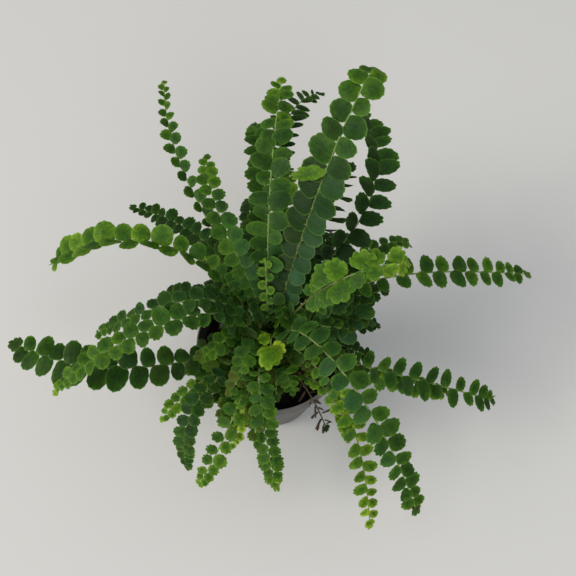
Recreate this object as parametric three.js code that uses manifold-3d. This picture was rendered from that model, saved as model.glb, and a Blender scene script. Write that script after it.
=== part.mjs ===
// A potted button fern: round leaflets on arching fronds, in a plain 12 cm nursery pot.
// Millimetres, +Z up, origin at the centre of the pot's underside.
import * as THREE from 'three';
import Module from 'manifold-3d';
import { mergeVertices } from 'three/addons/utils/BufferGeometryUtils.js';

const wasm = await Module();
wasm.setup();

// ---- Driving dimensions ----

const pot = {
  height: 100,
  rimRadius: 60, // outside of the rolled rim
  rimDepth: 11, // how far the rim band reaches down
  rimStep: 2.2, // how far the band stands out from the wall
  baseRadius: 37,
  wall: 1.8,
  floor: 2.4,
  sides: 32,
  footIn: 1, // the bevel round the underside
  footUp: 1.2,
  rimDraft: 0.4, // how far the rim band leans in towards its lower edge
  rimRound: 0.8,
  drains: 5,
  drainRing: 24,
  drainRadius: 4,
  drainSides: 6,
};
const soil = {
  crown: 91, // height of the peat round the stalks
  crownRadius: 31,
  edge: 86, // height at the pot's wall
  gap: 0.3,
  sides: 20,
};
const stalk = {
  width: 1.8,
  thick: 1.5,
  tipWidth: 1.0,
  tipThick: 0.9,
  buried: 8,
  above: 2, // straight stretch over the peat
  hole: 2.15, // half the hole's diagonal
  step: 14, // length of one bare piece of rib
};
const leaflet = {
  thick: 0.6,
  base: 1.7, // length of the joint along the rib
  droop: 0.09, // fall of the outer edge, as a share of its length
  large: 14, // from this length on, an outline has a point more
  small: 12, // and up to this length, a point less
  rightAt: 0.28, // where the two sides stand within one step along the rib
  leftAt: 0.72,
  lastAt: 0.985, // share of the rib where the leafy stretch ends
  fall: 2.6, // how late the sizes fall off towards the tip
  tipLong: 1.3, // the leaflet at the tip, against the last ones beside it
  tipWide: 1.1,
};
// Chance differences between leaflets: full spreads, as shares of a size or in degrees.
const chance = { size: 0.14, wide: 0.12, slant: 12, fold: 12, twist: 6, seed: 101, seedStep: 37 };
// Room between leaflets of two fronds, of one frond past their joints, to a rib, and to the pot.
const clearance = { leaf: 1.15, own: 0.85, joint: 3, rib: 1.8, pot: 1.4, leafStep: 2, ribStep: 1.5 };
// What a leaflet may do to pass its neighbours: grow smaller, then rise or sink by so many degrees.
const sizesTried = [1, 0.78];
const liftsTried = [0, 12, -12, 24, -24, 38, -38, 54];

// ---- Fronds ----
// Each rib is one curve. It stands in the peat at root: degrees and millimetres round the crown.
// toward and reach: the tip, seen from above. lean and rise: how it sets off. out, sway and arch:
// the top of the bend, as a share of the reach, millimetres to the right, and a height.
// leaf: length of the largest leaflet. wide: its width as a share of that. bare: share of the rib
// with no leaflets. peak: where the largest ones are. start and end: sizes at both ends.
// folds: degrees that the right and left sides rise. roll: how far both lean right.
// slant: how far the leaflets point to the tip.

const usual = {
  lean: 10, out: 0.65, sway: 0, wide: 1.05, bare: 0.22, peak: 0.45, start: 0.6, end: 0.55,
  folds: [6, 6], roll: 0, slant: 12, twist: 12, tone: 'full',
};
const leafColours = { old: 0x2f5a36, full: 0x3a6f35, young: 0x6f9f3f };

const frondList = [
  // the long ones that give the plant its outline
  { name: 'tall', root: [80, 6], rise: 200, lean: 30, toward: 55, reach: 122, tip: 305, sway: 11,
    arch: 340, pairs: 15, leaf: 16, wide: 1.05, bare: 0.16, peak: 0.7, tone: 'old', end: 0.5,
    folds: [14, 6] },
  { name: 'back', root: [100, 14], rise: 185, lean: 5, toward: 87, reach: 165, tip: 220, out: 0.35,
    sway: -4, arch: 245, pairs: 13, leaf: 13.5, peak: 0.5, wide: 1.1 },
  { name: 'back_low', root: [75, 24], rise: 170, lean: 20, toward: 79, reach: 205, tip: 165, out: 0.8,
    sway: -45, arch: 186, pairs: 8, leaf: 9, bare: 0.5, twist: 60, wide: 0.7, end: 0.5 },
  { name: 'back_left', root: [125, 20], rise: 200, lean: 5, toward: 115, reach: 205, tip: 195, out: 0.45,
    sway: -42, arch: 215, pairs: 11, leaf: 8.8, wide: 0.9, bare: 0.3, folds: [38, 38] },
  { name: 'back_left_short', root: [118, 12], rise: 180, lean: 0, toward: 115, reach: 112, tip: 206,
    out: 0.55, sway: -22, arch: 215, pairs: 9, leaf: 10.5, tone: 'young' },
  { name: 'left_small', root: [150, 25], rise: 145, toward: 139, reach: 145, tip: 150, out: 0.35,
    sway: 30, arch: 165, pairs: 9, leaf: 10 },
  { name: 'left_top', root: [150, 18], rise: 225, lean: 0, toward: 167, reach: 168, tip: 160, out: 0.6,
    sway: 10, arch: 245, pairs: 12, leaf: 13.9, folds: [10, 38], wide: 1.12, end: 0.6, roll: -25 },
  { name: 'left_arch', root: [178, 16], rise: 215, lean: 0, toward: 183, reach: 133, tip: 130, out: 0.55,
    sway: -10, arch: 200, pairs: 9, leaf: 9.5 },
  { name: 'left_mid', root: [190, 10], rise: 225, lean: 0, toward: 196, reach: 173, tip: 110, out: 0.7,
    sway: -8, arch: 192, pairs: 12, leaf: 11.5 },
  { name: 'left_long', root: [215, 24], rise: 130, lean: 15, toward: 182, reach: 200, tip: 106, out: 0.55,
    arch: 128, pairs: 12, leaf: 13.9, wide: 1.0, tone: 'old', sway: -55, end: 0.6 },
  { name: 'front_left', root: [225, 22], rise: 130, lean: 25, toward: 235, reach: 114, tip: 70, out: 0.8,
    sway: 20, arch: 148, pairs: 9, leaf: 10.5, bare: 0.14, wide: 1.15 },
  { name: 'front_fork', root: [241, 20], rise: 120, toward: 242, reach: 118, tip: 60, out: 0.7, sway: -18,
    arch: 137, pairs: 8, leaf: 10.5, tone: 'young', bare: 0.18, wide: 1.15 },
  { name: 'front_drop', root: [252, 22], rise: 145, lean: 8, toward: 272, reach: 105, tip: 60, out: 0.45,
    sway: 15, arch: 155, pairs: 9, leaf: 10.5, tone: 'young', wide: 1.15 },
  { name: 'right_drop', root: [300, 22], rise: 146, toward: 301, reach: 152, tip: 45, out: 0.4, sway: -40,
    arch: 150, pairs: 11, leaf: 10, tone: 'young', wide: 1.1 },
  { name: 'right_long', root: [310, 12], rise: 215, lean: -5, toward: 310, reach: 170, tip: 85, out: 0.62,
    sway: -2, arch: 212, pairs: 13, leaf: 13.5, wide: 1.1, end: 0.6, start: 0.5 },
  { name: 'right_low', root: [340, 18], rise: 100, toward: 345, reach: 180, tip: 90, out: 0.8, sway: 18,
    arch: 138, pairs: 12, leaf: 12, wide: 0.78 },
  { name: 'right_under', root: [335, 27], rise: 100, toward: 342, reach: 144, tip: 100, out: 0.78,
    sway: 15, arch: 124, pairs: 8, leaf: 9.5, tone: 'young' },
  { name: 'right_reach', root: [10, 14], rise: 200, lean: 30, toward: 15, reach: 217, tip: 110, out: 0.5,
    sway: 5, arch: 180, pairs: 13, leaf: 11, wide: 0.9 },
  { name: 'back_right', root: [45, 22], rise: 190, lean: 15, toward: 64, reach: 172, tip: 190, out: 0.45,
    sway: 78, arch: 215, pairs: 13, leaf: 17, wide: 0.7, folds: [8, 60], end: 0.6 },
  { name: 'back_right_low', root: [42, 28], rise: 110, lean: 15, toward: 34, reach: 136, tip: 125,
    out: 0.8, sway: -15, arch: 155, pairs: 8, leaf: 9 },
  { name: 'bright', root: [22, 8], rise: 185, toward: 8, reach: 98, tip: 203, out: 0.72, sway: 14,
    arch: 234, pairs: 10, leaf: 13, tone: 'young', wide: 1.15, roll: 25 },
  { name: 'right_turn', root: [0, 24], rise: 123, lean: 14, toward: 24, reach: 85, tip: 130, out: 0.35,
    sway: 55, arch: 136, pairs: 7, leaf: 13, tone: 'old' },
  { name: 'back_twin', root: [108, 26], rise: 165, lean: 5, toward: 95, reach: 150, tip: 185, out: 0.5,
    sway: 8, arch: 210, pairs: 8, leaf: 12, bare: 0.35, folds: [40, 5] },
  { name: 'between', root: [88, 20], rise: 150, toward: 82, reach: 112, tip: 180, arch: 200, pairs: 7,
    leaf: 9, bare: 0.4 },
  { name: 'behind_tall', root: [60, 16], rise: 125, lean: 25, toward: 58, reach: 113, tip: 200, sway: 5,
    arch: 200, pairs: 7, leaf: 12, bare: 0.3 },
  // short and young ones that fill the crown
  { name: 'crown_pale', root: [120, 4], rise: 150, lean: 0, toward: 95, reach: 50, tip: 185, out: 0.6,
    arch: 185, pairs: 6, leaf: 6, tone: 'young' },
  { name: 'crown_leaf', root: [292, 6], rise: 130, lean: 0, toward: 272, reach: 23, tip: 134, out: 0.7,
    arch: 149, pairs: 2, leaf: 8, tone: 'young', bare: 0.5, start: 0.9, end: 1.8 },
  { name: 'left_wisp', root: [165, 28], rise: 120, toward: 137, reach: 82, tip: 140, sway: 12, arch: 150,
    pairs: 5, leaf: 4.5, tone: 'young' },
  { name: 'left_stub', root: [215, 28], rise: 110, toward: 219, reach: 105, tip: 104, arch: 132, pairs: 7,
    leaf: 8, tone: 'young', bare: 0.16 },
  { name: 'left_pale', root: [203, 27], rise: 115, lean: 0, toward: 200, reach: 50, tip: 112, arch: 135,
    pairs: 5, leaf: 7.5, tone: 'young' },
  { name: 'front_pale', root: [253, 28], rise: 115, lean: 4, toward: 252, reach: 89, tip: 98, arch: 128,
    pairs: 6, leaf: 8, tone: 'young' },
  { name: 'right_fold', root: [300, 29], rise: 115, toward: 308, reach: 98, tip: 88, arch: 125, pairs: 6,
    leaf: 8, tone: 'young', sway: -15 },
  { name: 'front_rim', root: [263, 30], rise: 115, toward: 262, reach: 76, tip: 100, arch: 122, pairs: 5,
    leaf: 9, tone: 'young' },
  { name: 'front_inner', root: [238, 9], rise: 140, lean: 2, toward: 240, reach: 48, tip: 128, arch: 152,
    pairs: 5, leaf: 9.5 },
  { name: 'left_inner', root: [196, 16], rise: 135, lean: 2, toward: 208, reach: 56, tip: 128, arch: 150,
    pairs: 5, leaf: 9 },
  { name: 'left_fill', root: [168, 22], rise: 145, toward: 160, reach: 88, tip: 125, arch: 155, pairs: 6,
    leaf: 10, tone: 'old' },
  { name: 'back_fill', root: [95, 26], rise: 140, toward: 100, reach: 110, tip: 140, arch: 160, pairs: 6,
    leaf: 11, tone: 'old' },
  { name: 'back_left_fill', root: [135, 28], rise: 125, toward: 128, reach: 115, tip: 120, arch: 150,
    pairs: 6, leaf: 10, tone: 'old' },
  { name: 'right_fill', root: [20, 27], rise: 125, toward: 8, reach: 85, tip: 106, arch: 130, pairs: 6,
    leaf: 11, tone: 'old' },
  { name: 'right_fill_low', root: [355, 29], rise: 115, toward: 350, reach: 78, tip: 100, arch: 118,
    pairs: 5, leaf: 10, tone: 'old' },
  { name: 'front_fill', root: [285, 24], rise: 125, toward: 290, reach: 50, tip: 112, arch: 132, pairs: 5,
    leaf: 9 },
];

// ---- Shared helpers ----

const { degToRad, lerp } = THREE.MathUtils;
const skyward = new THREE.Vector3(0, 0, 1);
const rightSide = 1;
const leftSide = -1;
const atTip = 0;
const past = 1; // how far a cutter runs past what it cuts

function solidFrom(geometry) {
  const bare = geometry.clone();
  bare.deleteAttribute('normal');
  bare.deleteAttribute('uv');
  const merged = mergeVertices(bare.index ? bare.toNonIndexed() : bare, 1e-4);
  const mesh = new wasm.Mesh({
    numProp: 3,
    vertProperties: new Float32Array(merged.attributes.position.array),
    triVerts: new Uint32Array(merged.index.array),
  });
  return new wasm.Manifold(mesh);
}

function geometryFrom(solid) {
  const mesh = solid.getMesh();
  const geometry = new THREE.BufferGeometry();
  geometry.setAttribute('position', new THREE.BufferAttribute(mesh.vertProperties, 3));
  geometry.setIndex(new THREE.BufferAttribute(mesh.triVerts, 1));
  return geometry;
}

// A lathe profile, turned about the Z axis.
function turned(profile, sides) {
  const points = profile.map(([radius, height]) => new THREE.Vector2(radius, height));
  return new THREE.LatheGeometry(points, sides).rotateX(Math.PI / 2);
}

// A plain upright hole cutter that stands on the given height.
function cutter(x, y, low, high, radius, sides) {
  const peg = new THREE.CylinderGeometry(radius, radius, high - low, sides).rotateX(Math.PI / 2);
  return solidFrom(peg.translate(x, y, (low + high) / 2));
}

function cutAway(body, cutters) {
  return cutters.reduce((left, tool) => left.subtract(tool), body);
}

// ---- Pot ----

const wallTopRadius = pot.rimRadius - pot.rimStep;
const wallTop = pot.height - pot.rimDepth;

function wallRadius(height) {
  return lerp(pot.baseRadius, wallTopRadius, height / wallTop);
}

function potInside(height) {
  return wallRadius(height) - pot.wall;
}

function makePot() {
  const rimInside = potInside(pot.height);
  const profile = [
    [0, 0],
    [pot.baseRadius - pot.footIn, 0],
    [pot.baseRadius, pot.footUp],
    [wallTopRadius, wallTop],
    [pot.rimRadius - pot.rimDraft, wallTop],
    [pot.rimRadius, pot.height - pot.rimRound],
    [pot.rimRadius - pot.rimRound, pot.height],
    [rimInside, pot.height],
    [potInside(pot.floor), pot.floor],
    [0, pot.floor],
  ];
  const drains = [];
  for (let i = 0; i < pot.drains; i += 1) {
    const turn = (2 * Math.PI * i) / pot.drains;
    const x = pot.drainRing * Math.cos(turn);
    const y = pot.drainRing * Math.sin(turn);
    drains.push(cutter(x, y, -past, pot.floor + past, pot.drainRadius, pot.drainSides));
  }
  return geometryFrom(cutAway(solidFrom(turned(profile, pot.sides)), drains));
}

// ---- Peat ----

function soilTop(radius) {
  const slope = (radius - soil.crownRadius) / (potInside(soil.edge) - soil.crownRadius);
  return lerp(soil.crown, soil.edge, Math.max(0, slope));
}

function makeSoil(fronds) {
  const low = pot.floor + soil.gap;
  const roundness = Math.cos(Math.PI / pot.sides); // keeps the gap at the pot's flats
  const profile = [
    [0, low],
    [potInside(low) * roundness - soil.gap, low],
    [potInside(soil.edge) * roundness - soil.gap, soil.edge],
    [soil.crownRadius, soil.crown],
    [0, soil.crown],
  ];
  const holes = fronds.map(({ root }) => {
    const bottom = root.z - stalk.above - stalk.buried - soil.gap;
    return cutter(root.x, root.y, bottom, pot.height, stalk.hole, 4);
  });
  return geometryFrom(cutAway(solidFrom(turned(profile, soil.sides)), holes));
}

// ---- Ribs ----

function flatDirection(degrees) {
  return new THREE.Vector3(Math.cos(degToRad(degrees)), Math.sin(degToRad(degrees)), 0);
}

function layOut(spec) {
  const frond = { ...usual, ...spec };
  const [degrees, ring] = frond.root;
  frond.root = flatDirection(degrees).multiplyScalar(ring).setZ(soilTop(ring) + stalk.above);
  const heading = flatDirection(frond.toward);
  const rightwards = heading.clone().cross(skyward);
  const setOff = frond.root.clone().addScaledVector(heading, frond.lean).setZ(frond.rise);
  const bend = heading.clone().multiplyScalar(frond.out * frond.reach);
  bend.addScaledVector(rightwards, frond.sway).setZ(frond.arch);
  const tip = heading.clone().multiplyScalar(frond.reach).setZ(frond.tip);
  frond.route = new THREE.CubicBezierCurve3(frond.root, setOff, bend, tip);
  frond.length = frond.route.getLength();
  frond.right = tip.clone().sub(frond.root).setZ(0).normalize().cross(skyward);
  return frond;
}

// The rib's place and directions at a share of its length.
function ribAt(frond, share) {
  const t = frond.route.getUtoTmapping(share);
  const along = frond.route.getTangent(t);
  const right = frond.right.clone().addScaledVector(along, -frond.right.dot(along)).normalize();
  right.applyAxisAngle(along, degToRad(frond.roll));
  return {
    at: frond.route.getPoint(t),
    along,
    right,
    up: new THREE.Vector3().crossVectors(right, along),
    width: lerp(stalk.width, stalk.tipWidth, share),
    thick: lerp(stalk.thick, stalk.tipThick, share),
  };
}

// ---- Leaflets ----

// Outer corners of a leaflet: shares of its length outwards, and of its width along the rib.
const largeOutline = [[0.3, -0.46], [0.8, -0.42], [1, -0.02], [0.84, 0.4], [0.36, 0.52]];
const usualOutline = [[0.34, -0.48], [0.9, -0.32], [0.93, 0.3], [0.4, 0.52]];
const smallOutline = [[0.42, -0.48], [1, -0.05], [0.48, 0.52]];

function outlineFor(size) {
  if (size >= leaflet.large) {
    return largeOutline;
  }
  return size > leaflet.small ? usualOutline : smallOutline;
}

// Size of the leaflets along the leafy stretch.
function sizeAt(frond, share) {
  if (share < frond.peak) {
    return lerp(frond.start, 1, Math.sin((Math.PI / 2) * (share / frond.peak)));
  }
  return lerp(1, frond.end, ((share - frond.peak) / (1 - frond.peak)) ** leaflet.fall);
}

function seededDraws(seed) {
  let state = seed;
  return () => {
    state = (state * 1664525 + 1013904223) % 4294967296;
    return state / 4294967296 - 0.5;
  };
}

// Where every leaflet sits on its rib, how large it is, and its small chance turns.
function placeLeaflets(frond, seed) {
  const draw = seededDraws(seed);
  const steps = [];
  for (let i = 0; i < frond.pairs; i += 1) {
    steps.push(sizeAt(frond, (i + 0.5) / frond.pairs));
  }
  const total = steps.reduce((sum, step) => sum + step, 0);
  const places = [];
  let walked = 0;
  for (const step of steps) {
    for (const side of [rightSide, leftSide]) {
      const middle = (walked + step * (side === rightSide ? leaflet.rightAt : leaflet.leftAt)) / total;
      const size = frond.leaf * sizeAt(frond, middle) * (1 + chance.size * draw());
      places.push({
        side,
        share: lerp(frond.bare, leaflet.lastAt, middle),
        size,
        wide: size * frond.wide * (1 + chance.wide * draw()),
        slant: frond.slant + chance.slant * draw(),
        fold: frond.folds[side === rightSide ? 0 : 1] + chance.fold * draw(),
        twist: frond.twist + chance.twist * draw(),
      });
    }
    walked += step;
  }
  const last = frond.leaf * frond.end;
  places.push({ side: atTip, share: 1, size: last * leaflet.tipLong, wide: last * leaflet.tipWide,
    slant: 0, fold: 0, twist: 0 });
  return places;
}

// One direction turned towards another that is square to it.
function blend(from, to, degrees) {
  const angle = degToRad(degrees);
  return from.clone().multiplyScalar(Math.cos(angle)).addScaledVector(to, Math.sin(angle));
}

// The corners of one leaflet, turned by lift, and the direction that its face looks in.
function leafletCorners(frond, place, shrink, lift) {
  const rib = ribAt(frond, place.share);
  const { slant, twist } = place;
  const fold = place.fold + lift;
  const sideways = rib.right.clone().multiplyScalar(place.side || 1);
  const outwards = blend(sideways, rib.up, fold);
  const flatUp = blend(rib.up, sideways, -fold);
  const axis = blend(outwards, rib.along, slant);
  const forward = blend(rib.along, outwards, -slant);
  if (place.side === atTip) { // the leaflet at the tip carries the rib on
    axis.copy(rib.along);
    forward.copy(rib.right).negate();
  }
  const edge = blend(forward, flatUp, twist);
  const face = blend(flatUp, forward, -twist);
  const joint = rib.at.clone().addScaledVector(sideways, place.side === atTip ? 0 : rib.width / 2);
  const outline = outlineFor(place.size * shrink);
  const corners = outline.map(([out, forth]) => joint.clone()
    .addScaledVector(axis, out * place.size * shrink)
    .addScaledVector(edge, forth * place.wide * shrink)
    .addScaledVector(face, -leaflet.droop * place.size * shrink * out * out));
  return { corners, face, joint };
}

// Triangles of a leaflet between its two joint points and its corners.
function leafletFan(first, corners, last) {
  const n = corners.length;
  const fan = [[first, corners[0], corners[n - 1]], [first, corners[n - 1], last]];
  for (let low = 0, high = n - 1; high - low > 1; low += 1, high -= 1) {
    fan.push([corners[low], corners[low + 1], corners[high]]);
    if (high - low > 2) {
      fan.push([corners[low + 1], corners[high - 1], corners[high]]);
    }
  }
  return fan;
}

// ---- Making room between the leaflets ----

function samplesOf(triangles) {
  const samples = [];
  for (const { a, b, c } of triangles) {
    const longest = Math.max(a.distanceTo(b), b.distanceTo(c), c.distanceTo(a));
    const steps = Math.ceil(longest / clearance.leafStep);
    for (let i = 0; i <= steps; i += 1) {
      for (let j = 0; j <= steps - i; j += 1) {
        const k = steps - i - j;
        samples.push(new THREE.Vector3()
          .addScaledVector(a, i / steps).addScaledVector(b, j / steps).addScaledVector(c, k / steps));
      }
    }
  }
  return samples;
}

function sheetOf(frond, corners, joint) {
  const triangles = leafletFan(joint, corners, joint)
    .filter(([a, , c]) => a !== c)
    .map((points) => new THREE.Triangle(...points));
  const box = new THREE.Box3().setFromPoints([joint, ...corners]);
  return { frond, joint, triangles, box, samples: samplesOf(triangles) };
}

const nearest = new THREE.Vector3();

function tooNear(samples, triangles, distance) {
  for (const sample of samples) {
    for (const triangle of triangles) {
      triangle.closestPointToPoint(sample, nearest);
      if (nearest.distanceToSquared(sample) < distance * distance) {
        return true;
      }
    }
  }
  return false;
}

function beyondJoint(sheet) {
  return sheet.samples.filter((sample) => sample.distanceTo(sheet.joint) > clearance.joint);
}

function hitsPot(point, margin) {
  const radius = Math.hypot(point.x, point.y);
  if (point.z > pot.height + margin) {
    return false;
  }
  if (radius < potInside(pot.height) - margin && point.z > soilTop(radius) + margin) {
    return false;
  }
  const outside = point.z > wallTop - margin ? pot.rimRadius : wallRadius(point.z);
  return radius < outside + margin || point.z < margin;
}

function ribSamples(frond) {
  const samples = [];
  const count = Math.ceil(frond.length / clearance.ribStep);
  for (let i = 0; i <= count; i += 1) {
    samples.push(frond.route.getPoint(frond.route.getUtoTmapping(i / count)));
  }
  return { frond, samples, box: new THREE.Box3().setFromPoints(samples) };
}

function isClear(sheet, settled, ribs) {
  if (sheet.samples.some((sample) => hitsPot(sample, clearance.pot))) {
    return false;
  }
  const reach = sheet.box.clone().expandByScalar(clearance.rib);
  for (const rib of ribs) {
    if (rib.frond !== sheet.frond && rib.box.intersectsBox(reach)) {
      const near = rib.samples.filter((sample) => reach.containsPoint(sample));
      if (tooNear(near, sheet.triangles, clearance.rib)) {
        return false;
      }
    }
  }
  for (const other of settled) {
    if (other.box.intersectsBox(reach)) {
      const own = other.frond === sheet.frond;
      const distance = own ? clearance.own : clearance.leaf;
      const mine = own ? beyondJoint(sheet) : sheet.samples;
      const theirs = own ? beyondJoint(other) : other.samples;
      if (tooNear(mine, other.triangles, distance) || tooNear(theirs, sheet.triangles, distance)) {
        return false;
      }
    }
  }
  return true;
}

// The first size and lift at which a leaflet clears all that is settled already, if there is one.
function firstFit(frond, place, settled, ribs) {
  for (const shrink of sizesTried) {
    for (const lift of liftsTried) {
      const { corners, face, joint } = leafletCorners(frond, place, shrink, lift);
      const sheet = sheetOf(frond, corners, joint);
      if (place.side === atTip || isClear(sheet, settled, ribs)) {
        return { place, corners, face, sheet };
      }
    }
  }
  return null;
}

function settle(frond, settled, ribs) {
  const kept = [];
  for (const place of frond.places) {
    const fit = firstFit(frond, place, settled, ribs);
    if (fit) {
      settled.push(fit.sheet);
      kept.push(fit);
    }
  }
  return kept;
}

// ---- One frond as one closed blade ----

function makeFrond(frond, kept) {
  const points = [];
  const offsets = [];
  const faces = [];

  function addPoint(at, normal, half) {
    points.push(at);
    offsets.push(normal.clone().multiplyScalar(half));
    return points.length - 1;
  }

  function addRibPoint(share, side) {
    const rib = ribAt(frond, Math.min(share, 1));
    const index = addPoint(rib.at.addScaledVector(rib.right, (side * rib.width) / 2), rib.up, rib.thick / 2);
    return { share, index };
  }

  const chains = { [rightSide]: [], [leftSide]: [] };
  const foot = ribAt(frond, 0);
  const footUp = new THREE.Vector3().crossVectors(frond.right, skyward);
  for (const side of [rightSide, leftSide]) {
    for (const [order, drop] of [[-2, stalk.above + stalk.buried], [-1, 1]]) {
      const at = frond.root.clone().addScaledVector(frond.right, (side * foot.width) / 2);
      at.z -= drop;
      chains[side].push({ share: order, index: addPoint(at, footUp, foot.thick / 2) });
    }
    const bareSteps = Math.max(2, Math.round((frond.bare * frond.length) / stalk.step));
    for (let i = 1; i <= bareSteps; i += 1) {
      chains[side].push(addRibPoint((frond.bare * (i - 0.3)) / bareSteps, side));
    }
  }
  const half = leaflet.base / 2 / frond.length;
  for (const place of frond.places.filter(({ side }) => side !== atTip)) {
    place.first = addRibPoint(place.share - half, place.side);
    place.last = addRibPoint(place.share + half, place.side);
    chains[place.side].push(place.first, place.last);
  }
  for (const side of [rightSide, leftSide]) {
    chains[side].push(addRibPoint(1, side));
  }

  const left = chains[leftSide];
  const right = chains[rightSide];
  let i = 0;
  let j = 0;
  while (i < left.length - 1 || j < right.length - 1) {
    const nextLeft = i < left.length - 1 ? left[i + 1].share : Infinity;
    const nextRight = j < right.length - 1 ? right[j + 1].share : Infinity;
    if (nextLeft < nextRight) {
      faces.push([left[i].index, right[j].index, left[i + 1].index]);
      i += 1;
    } else {
      faces.push([left[i].index, right[j].index, right[j + 1].index]);
      j += 1;
    }
  }

  for (const { place, corners, face } of kept) {
    const outer = corners.map((corner) => addPoint(corner, face, leaflet.thick / 2));
    const first = place.side === atTip ? right.at(-1).index : place.first.index;
    const last = place.side === atTip ? left.at(-1).index : place.last.index;
    for (const [a, b, c] of leafletFan(first, outer, last)) {
      faces.push(place.side === leftSide ? [a, c, b] : [a, b, c]);
    }
  }

  return thickened(points, offsets, faces);
}

// Closes a sheet into a solid: both faces alike, and a wall along every open edge.
function thickened(points, offsets, faces) {
  const count = points.length;
  const position = [];
  for (const sign of [1, -1]) {
    points.forEach((point, n) => {
      position.push(...point.clone().addScaledVector(offsets[n], sign).toArray());
    });
  }
  const edges = new Set(faces.flatMap(([a, b, c]) => [`${a},${b}`, `${b},${c}`, `${c},${a}`]));
  const index = [];
  for (const [a, b, c] of faces) {
    index.push(a, b, c, a + count, c + count, b + count);
    for (const [from, to] of [[a, b], [b, c], [c, a]]) {
      if (!edges.has(`${to},${from}`)) {
        index.push(to, from, from + count, to, from + count, to + count);
      }
    }
  }
  const geometry = new THREE.BufferGeometry();
  geometry.setAttribute('position', new THREE.Float32BufferAttribute(position, 3));
  geometry.setIndex(index);
  return geometry;
}

// ---- Assembly ----

function named(name, geometry, color, roughness) {
  const mesh = new THREE.Mesh(geometry, new THREE.MeshStandardMaterial({ color, roughness, metalness: 0 }));
  mesh.name = name;
  return mesh;
}

const fronds = frondList.map(layOut);
fronds.forEach((frond, n) => {
  frond.places = placeLeaflets(frond, chance.seed + chance.seedStep * n);
});
const ribs = fronds.map(ribSamples);
const settled = [];

const fern = new THREE.Group();
fern.add(named('pot', makePot(), 0x4c4b4a, 0.55));
fern.add(named('soil', makeSoil(fronds), 0x17130f, 0.95));
for (const frond of fronds) {
  const kept = settle(frond, settled, ribs);
  fern.add(named(`frond_${frond.name}`, makeFrond(frond, kept), leafColours[frond.tone], 0.6));
}

export default fern;
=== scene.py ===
# A potted button fern: scalloped leaflets on scaly ribs, over black peat in a plain nursery pot.
import math
import random
from bisect import bisect_right

import bmesh
import bpy
from mathutils import Matrix, Vector, noise


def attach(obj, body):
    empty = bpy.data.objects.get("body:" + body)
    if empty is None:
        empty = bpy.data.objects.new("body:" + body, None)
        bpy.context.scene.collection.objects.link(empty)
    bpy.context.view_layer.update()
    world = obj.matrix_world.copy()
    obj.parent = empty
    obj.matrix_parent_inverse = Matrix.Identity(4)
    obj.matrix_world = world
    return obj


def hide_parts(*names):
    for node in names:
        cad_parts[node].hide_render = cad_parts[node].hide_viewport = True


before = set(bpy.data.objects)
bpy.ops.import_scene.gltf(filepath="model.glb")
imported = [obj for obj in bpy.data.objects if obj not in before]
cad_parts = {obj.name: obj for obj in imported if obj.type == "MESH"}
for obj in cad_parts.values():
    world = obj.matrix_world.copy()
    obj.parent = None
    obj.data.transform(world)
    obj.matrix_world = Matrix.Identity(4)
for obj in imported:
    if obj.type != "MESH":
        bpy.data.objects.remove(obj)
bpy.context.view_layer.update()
mm = 0.001  # everything below is modelled in millimetres, and newPiece makes it metres
upward = Vector((0, 0, 1))


def lerp(a, b, share):
    return a + (b - a) * share


def ease(low, high, value):
    share = min(1.0, max(0.0, (value - low) / (high - low)))
    return share * share * (3 - 2 * share)


def linear(hexColour):
    channels = [int(hexColour[i:i + 2], 16) / 255 for i in (1, 3, 5)]
    return [c / 12.92 if c <= 0.04045 else ((c + 0.055) / 1.055) ** 2.4 for c in channels] + [1.0]


# inputs go by a socket's name or number, and hold a socket, a value or a hex colour
def addNode(material, kind, inputs=None, output=0, stops=(), **settings):
    tree = material.node_tree
    node = tree.nodes.new("ShaderNode" + kind)
    for name, value in settings.items():
        setattr(node, name, value)
    for name, value in (inputs or {}).items():
        if isinstance(value, bpy.types.NodeSocket):
            tree.links.new(value, node.inputs[name])
        else:
            node.inputs[name].default_value = linear(value) if isinstance(value, str) else value
    for i, (place, colour) in enumerate(stops):
        marks = node.color_ramp.elements
        mark = marks[i] if i < 2 else marks.new(place)
        mark.position = place
        mark.color = linear(colour)
    return node.outputs[output] if len(node.outputs) else node


def meshFrom(bm, name):
    mesh = bpy.data.meshes.new(name)
    bm.to_mesh(mesh)
    bm.free()
    return mesh


def newObject(name, data):
    item = bpy.data.objects.new(name, data)
    bpy.context.scene.collection.objects.link(item)
    return item


def newMaterial(name):
    material = bpy.data.materials.new(name)
    material.use_nodes = True
    material.node_tree.nodes.clear()
    return material


def newPiece(bm, name, materials, nodes=()):
    bmesh.ops.scale(bm, vec=(mm, mm, mm), verts=bm.verts)
    mesh = meshFrom(bm, name)
    for material in materials:
        mesh.materials.append(material)
    piece = newObject(name, mesh)
    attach(piece, "root")
    if nodes:
        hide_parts(*nodes)


# camera, at the photograph's angle

view = {
    "place": (0.0138, -0.286, 0.724),  # metres
    "down": 61.8,  # degrees below the horizon
    "lens": 53.1,
    "sensor": 36.0,
}
camera = newObject("camera", bpy.data.cameras.new("camera"))
camera.location = view["place"]
camera.rotation_euler = (math.radians(90 - view["down"]), 0, 0)
camera.data.lens = view["lens"]
camera.data.sensor_width = view["sensor"]
bpy.context.scene.camera = camera
print("camera done")


# fronds: each rib is one curve, as in the solids

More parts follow.
